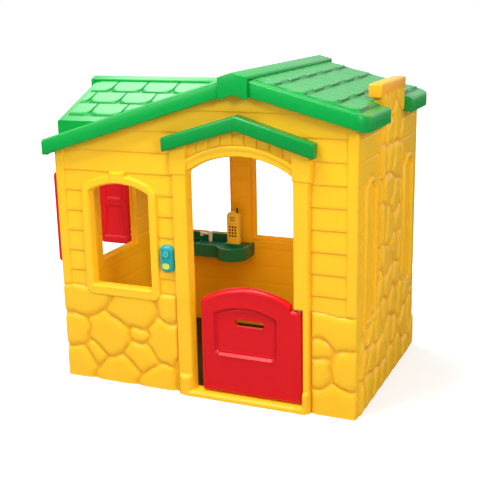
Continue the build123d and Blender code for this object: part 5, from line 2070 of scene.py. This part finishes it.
@dataclass
class Studio:
    """Pale floor, soft lamps and the camera."""

    position: tuple = (1.4939, -3.2492, 1.4275)
    yaw: float = 0.4177
    pitch: float = 0.2573
    roll: float = -0.0215
    lens: float = 69.88
    floor_reach: float = 40.0
    inside_x: float = 0.067
    inside_halves: tuple = (0.56, 0.37)
    glow_power: float = 4.3

    def camera(self) -> None:
        """Sets the camera from its place and its three angles."""
        ahead = Vector((-math.sin(self.yaw) * math.cos(self.pitch), math.cos(self.yaw) * math.cos(self.pitch),
                        -math.sin(self.pitch)))
        right = Vector((math.cos(self.yaw), math.sin(self.yaw), 0))
        up = right.cross(ahead)
        side = math.cos(self.roll) * right + math.sin(self.roll) * up
        top = -math.sin(self.roll) * right + math.cos(self.roll) * up
        data = bpy.data.cameras.new("camera")
        data.lens = self.lens
        data.sensor_width = 36.0
        obj = added("camera", data)
        turn = Matrix((side, top, -ahead)).transposed().to_4x4()
        obj.matrix_world = Matrix.Translation(self.position) @ turn
        bpy.context.scene.camera = obj

    def glow(self) -> None:
        """Warm light inside, as thin yellow walls let through."""
        data = bpy.data.lights.new("inside_glow", "POINT")
        data.energy = self.glow_power
        data.color = (1.0, 0.72, 0.4)
        data.shadow_soft_size = 0.22
        obj = added("inside_glow", data)
        obj.location = (0.1, -0.1, 0.5)
        obj.visible_camera = False
        obj.visible_glossy = False

    def floor(self) -> None:
        """A wide floor that shows white, with the object's shadow on it, and painted shade inside the house:
        near-black there, with no glow.
        """
        mesh = bpy.data.meshes.new("floor")
        reach = self.floor_reach
        mesh.from_pydata([(-reach, -reach, 0), (reach, -reach, 0), (reach, reach, 0), (-reach, reach, 0)], [],
                         [(0, 1, 2, 3)])
        floor = added("floor", mesh)
        paint = bpy.data.materials.new("pale_floor")
        paint.use_nodes = True
        tree = paint.node_tree
        link = tree.links.new
        shader = tree.nodes["Principled BSDF"]
        shader.inputs["Roughness"].default_value = 0.9
        shader.inputs["Specular IOR Level"].default_value = 0.1
        shader.inputs["Emission Color"].default_value = (1, 1, 1, 1)
        rays = tree.nodes.new("ShaderNodeLightPath")
        where = tree.nodes.new("ShaderNodeTexCoord")
        reach = linked(tree, "ShaderNodeVectorMath", operation="LENGTH")
        link(where.outputs["Object"], reach.inputs[0])
        level = linked(tree, "ShaderNodeMapRange", From_Min=0.9, From_Max=2.2, To_Min=0.55, To_Max=1.0)
        link(reach.outputs["Value"], level.inputs["Value"])
        # The box of floor inside the house, which gets painted shade below.
        middle = linked(tree, "ShaderNodeVectorMath", operation="SUBTRACT")
        link(where.outputs["Object"], middle.inputs[0])
        middle.inputs[1].default_value = (self.inside_x, 0.0, 0.0)
        inside = linked(tree, "ShaderNodeVectorMath", operation="ABSOLUTE")
        link(middle.outputs["Vector"], inside.inputs[0])
        sides = tree.nodes.new("ShaderNodeSeparateXYZ")
        link(inside.outputs["Vector"], sides.inputs[0])
        outdoors = [linked(tree, "ShaderNodeMath", operation="GREATER_THAN") for _ in range(2)]
        for node, axis, half in zip(outdoors, "XY", self.inside_halves):
            link(sides.outputs[axis], node.inputs[0])
            node.inputs[1].default_value = half
        either = combined(tree, "MAXIMUM", outdoors[0].outputs[0], outdoors[1].outputs[0])
        shown = combined(tree, "MULTIPLY", rays.outputs["Is Camera Ray"], either)
        seen = combined(tree, "MULTIPLY", shown, level.outputs["Result"])
        link(seen, shader.inputs["Emission Strength"])
        tone = linked(tree, "ShaderNodeMix", data_type="RGBA")
        link(rays.outputs["Is Glossy Ray"], tone.inputs["Factor"])
        tone.inputs[6].default_value = (0.53, 0.55, 0.575, 1)
        tone.inputs[7].default_value = (0.1, 0.1, 0.1, 1)
        shade = linked(tree, "ShaderNodeMix", data_type="RGBA")
        link(either, shade.inputs["Factor"])
        # Painted shade: the floor inside the house is near-black, for the shade there.
        shade.inputs[6].default_value = (0.05, 0.035, 0.015, 1)
        link(tone.outputs[2], shade.inputs[7])
        link(shade.outputs[2], shader.inputs["Base Color"])
        mesh.materials.append(paint)

    @staticmethod
    def world() -> None:
        """Soft surrounding light that is plain white to the eye and in reflections."""
        world = bpy.data.worlds.new("studio")
        bpy.context.scene.world = world
        world.use_nodes = True
        tree = world.node_tree
        link = tree.links.new
        back = tree.nodes["Background"]
        rays = tree.nodes.new("ShaderNodeLightPath")
        seen = combined(tree, "MAXIMUM", rays.outputs["Is Camera Ray"], rays.outputs["Is Transmission Ray"])
        where = tree.nodes.new("ShaderNodeTexCoord")
        split = tree.nodes.new("ShaderNodeSeparateXYZ")
        link(where.outputs["Generated"], split.inputs[0])
        rear = linked(tree, "ShaderNodeMapRange", From_Min=-0.6, From_Max=0.6, To_Min=0.14, To_Max=0.85)
        link(split.outputs["Y"], rear.inputs["Value"])
        level = linked(tree, "ShaderNodeMapRange", To_Max=1.0)
        link(seen, level.inputs["Value"])
        link(rear.outputs["Result"], level.inputs["To Min"])
        link(level.outputs["Result"], back.inputs["Strength"])
        back.inputs["Color"].default_value = (1, 1, 1, 1)

    def build(self) -> None:
        """Makes the whole studio."""
        bpy.context.scene.view_settings.view_transform = "Standard"
        self.camera()
        self.world()
        self.floor()
        for lamp in LAMPS:
            lamp.build()
        self.glow()


def main() -> None:
    """Builds the studio and every sub-assembly in order."""
    logging.basicConfig(level=logging.INFO, format="%(message)s")
    Studio().build()
    for part in (FrontWall(), BackWall(), LeftWall(), RightWall(), RoofPanels(), RoofTrim(), Awning(),
                 HalfDoor(), Shutter("shutter_front", "shutter_front", 230.0, 1),
                 Shutter("shutter_rear", "shutter_rear", 556.0, -1), Doorbell(), Kitchen()):
        part.build()
    dress_nodes()


if __name__ == "__main__":
    main()
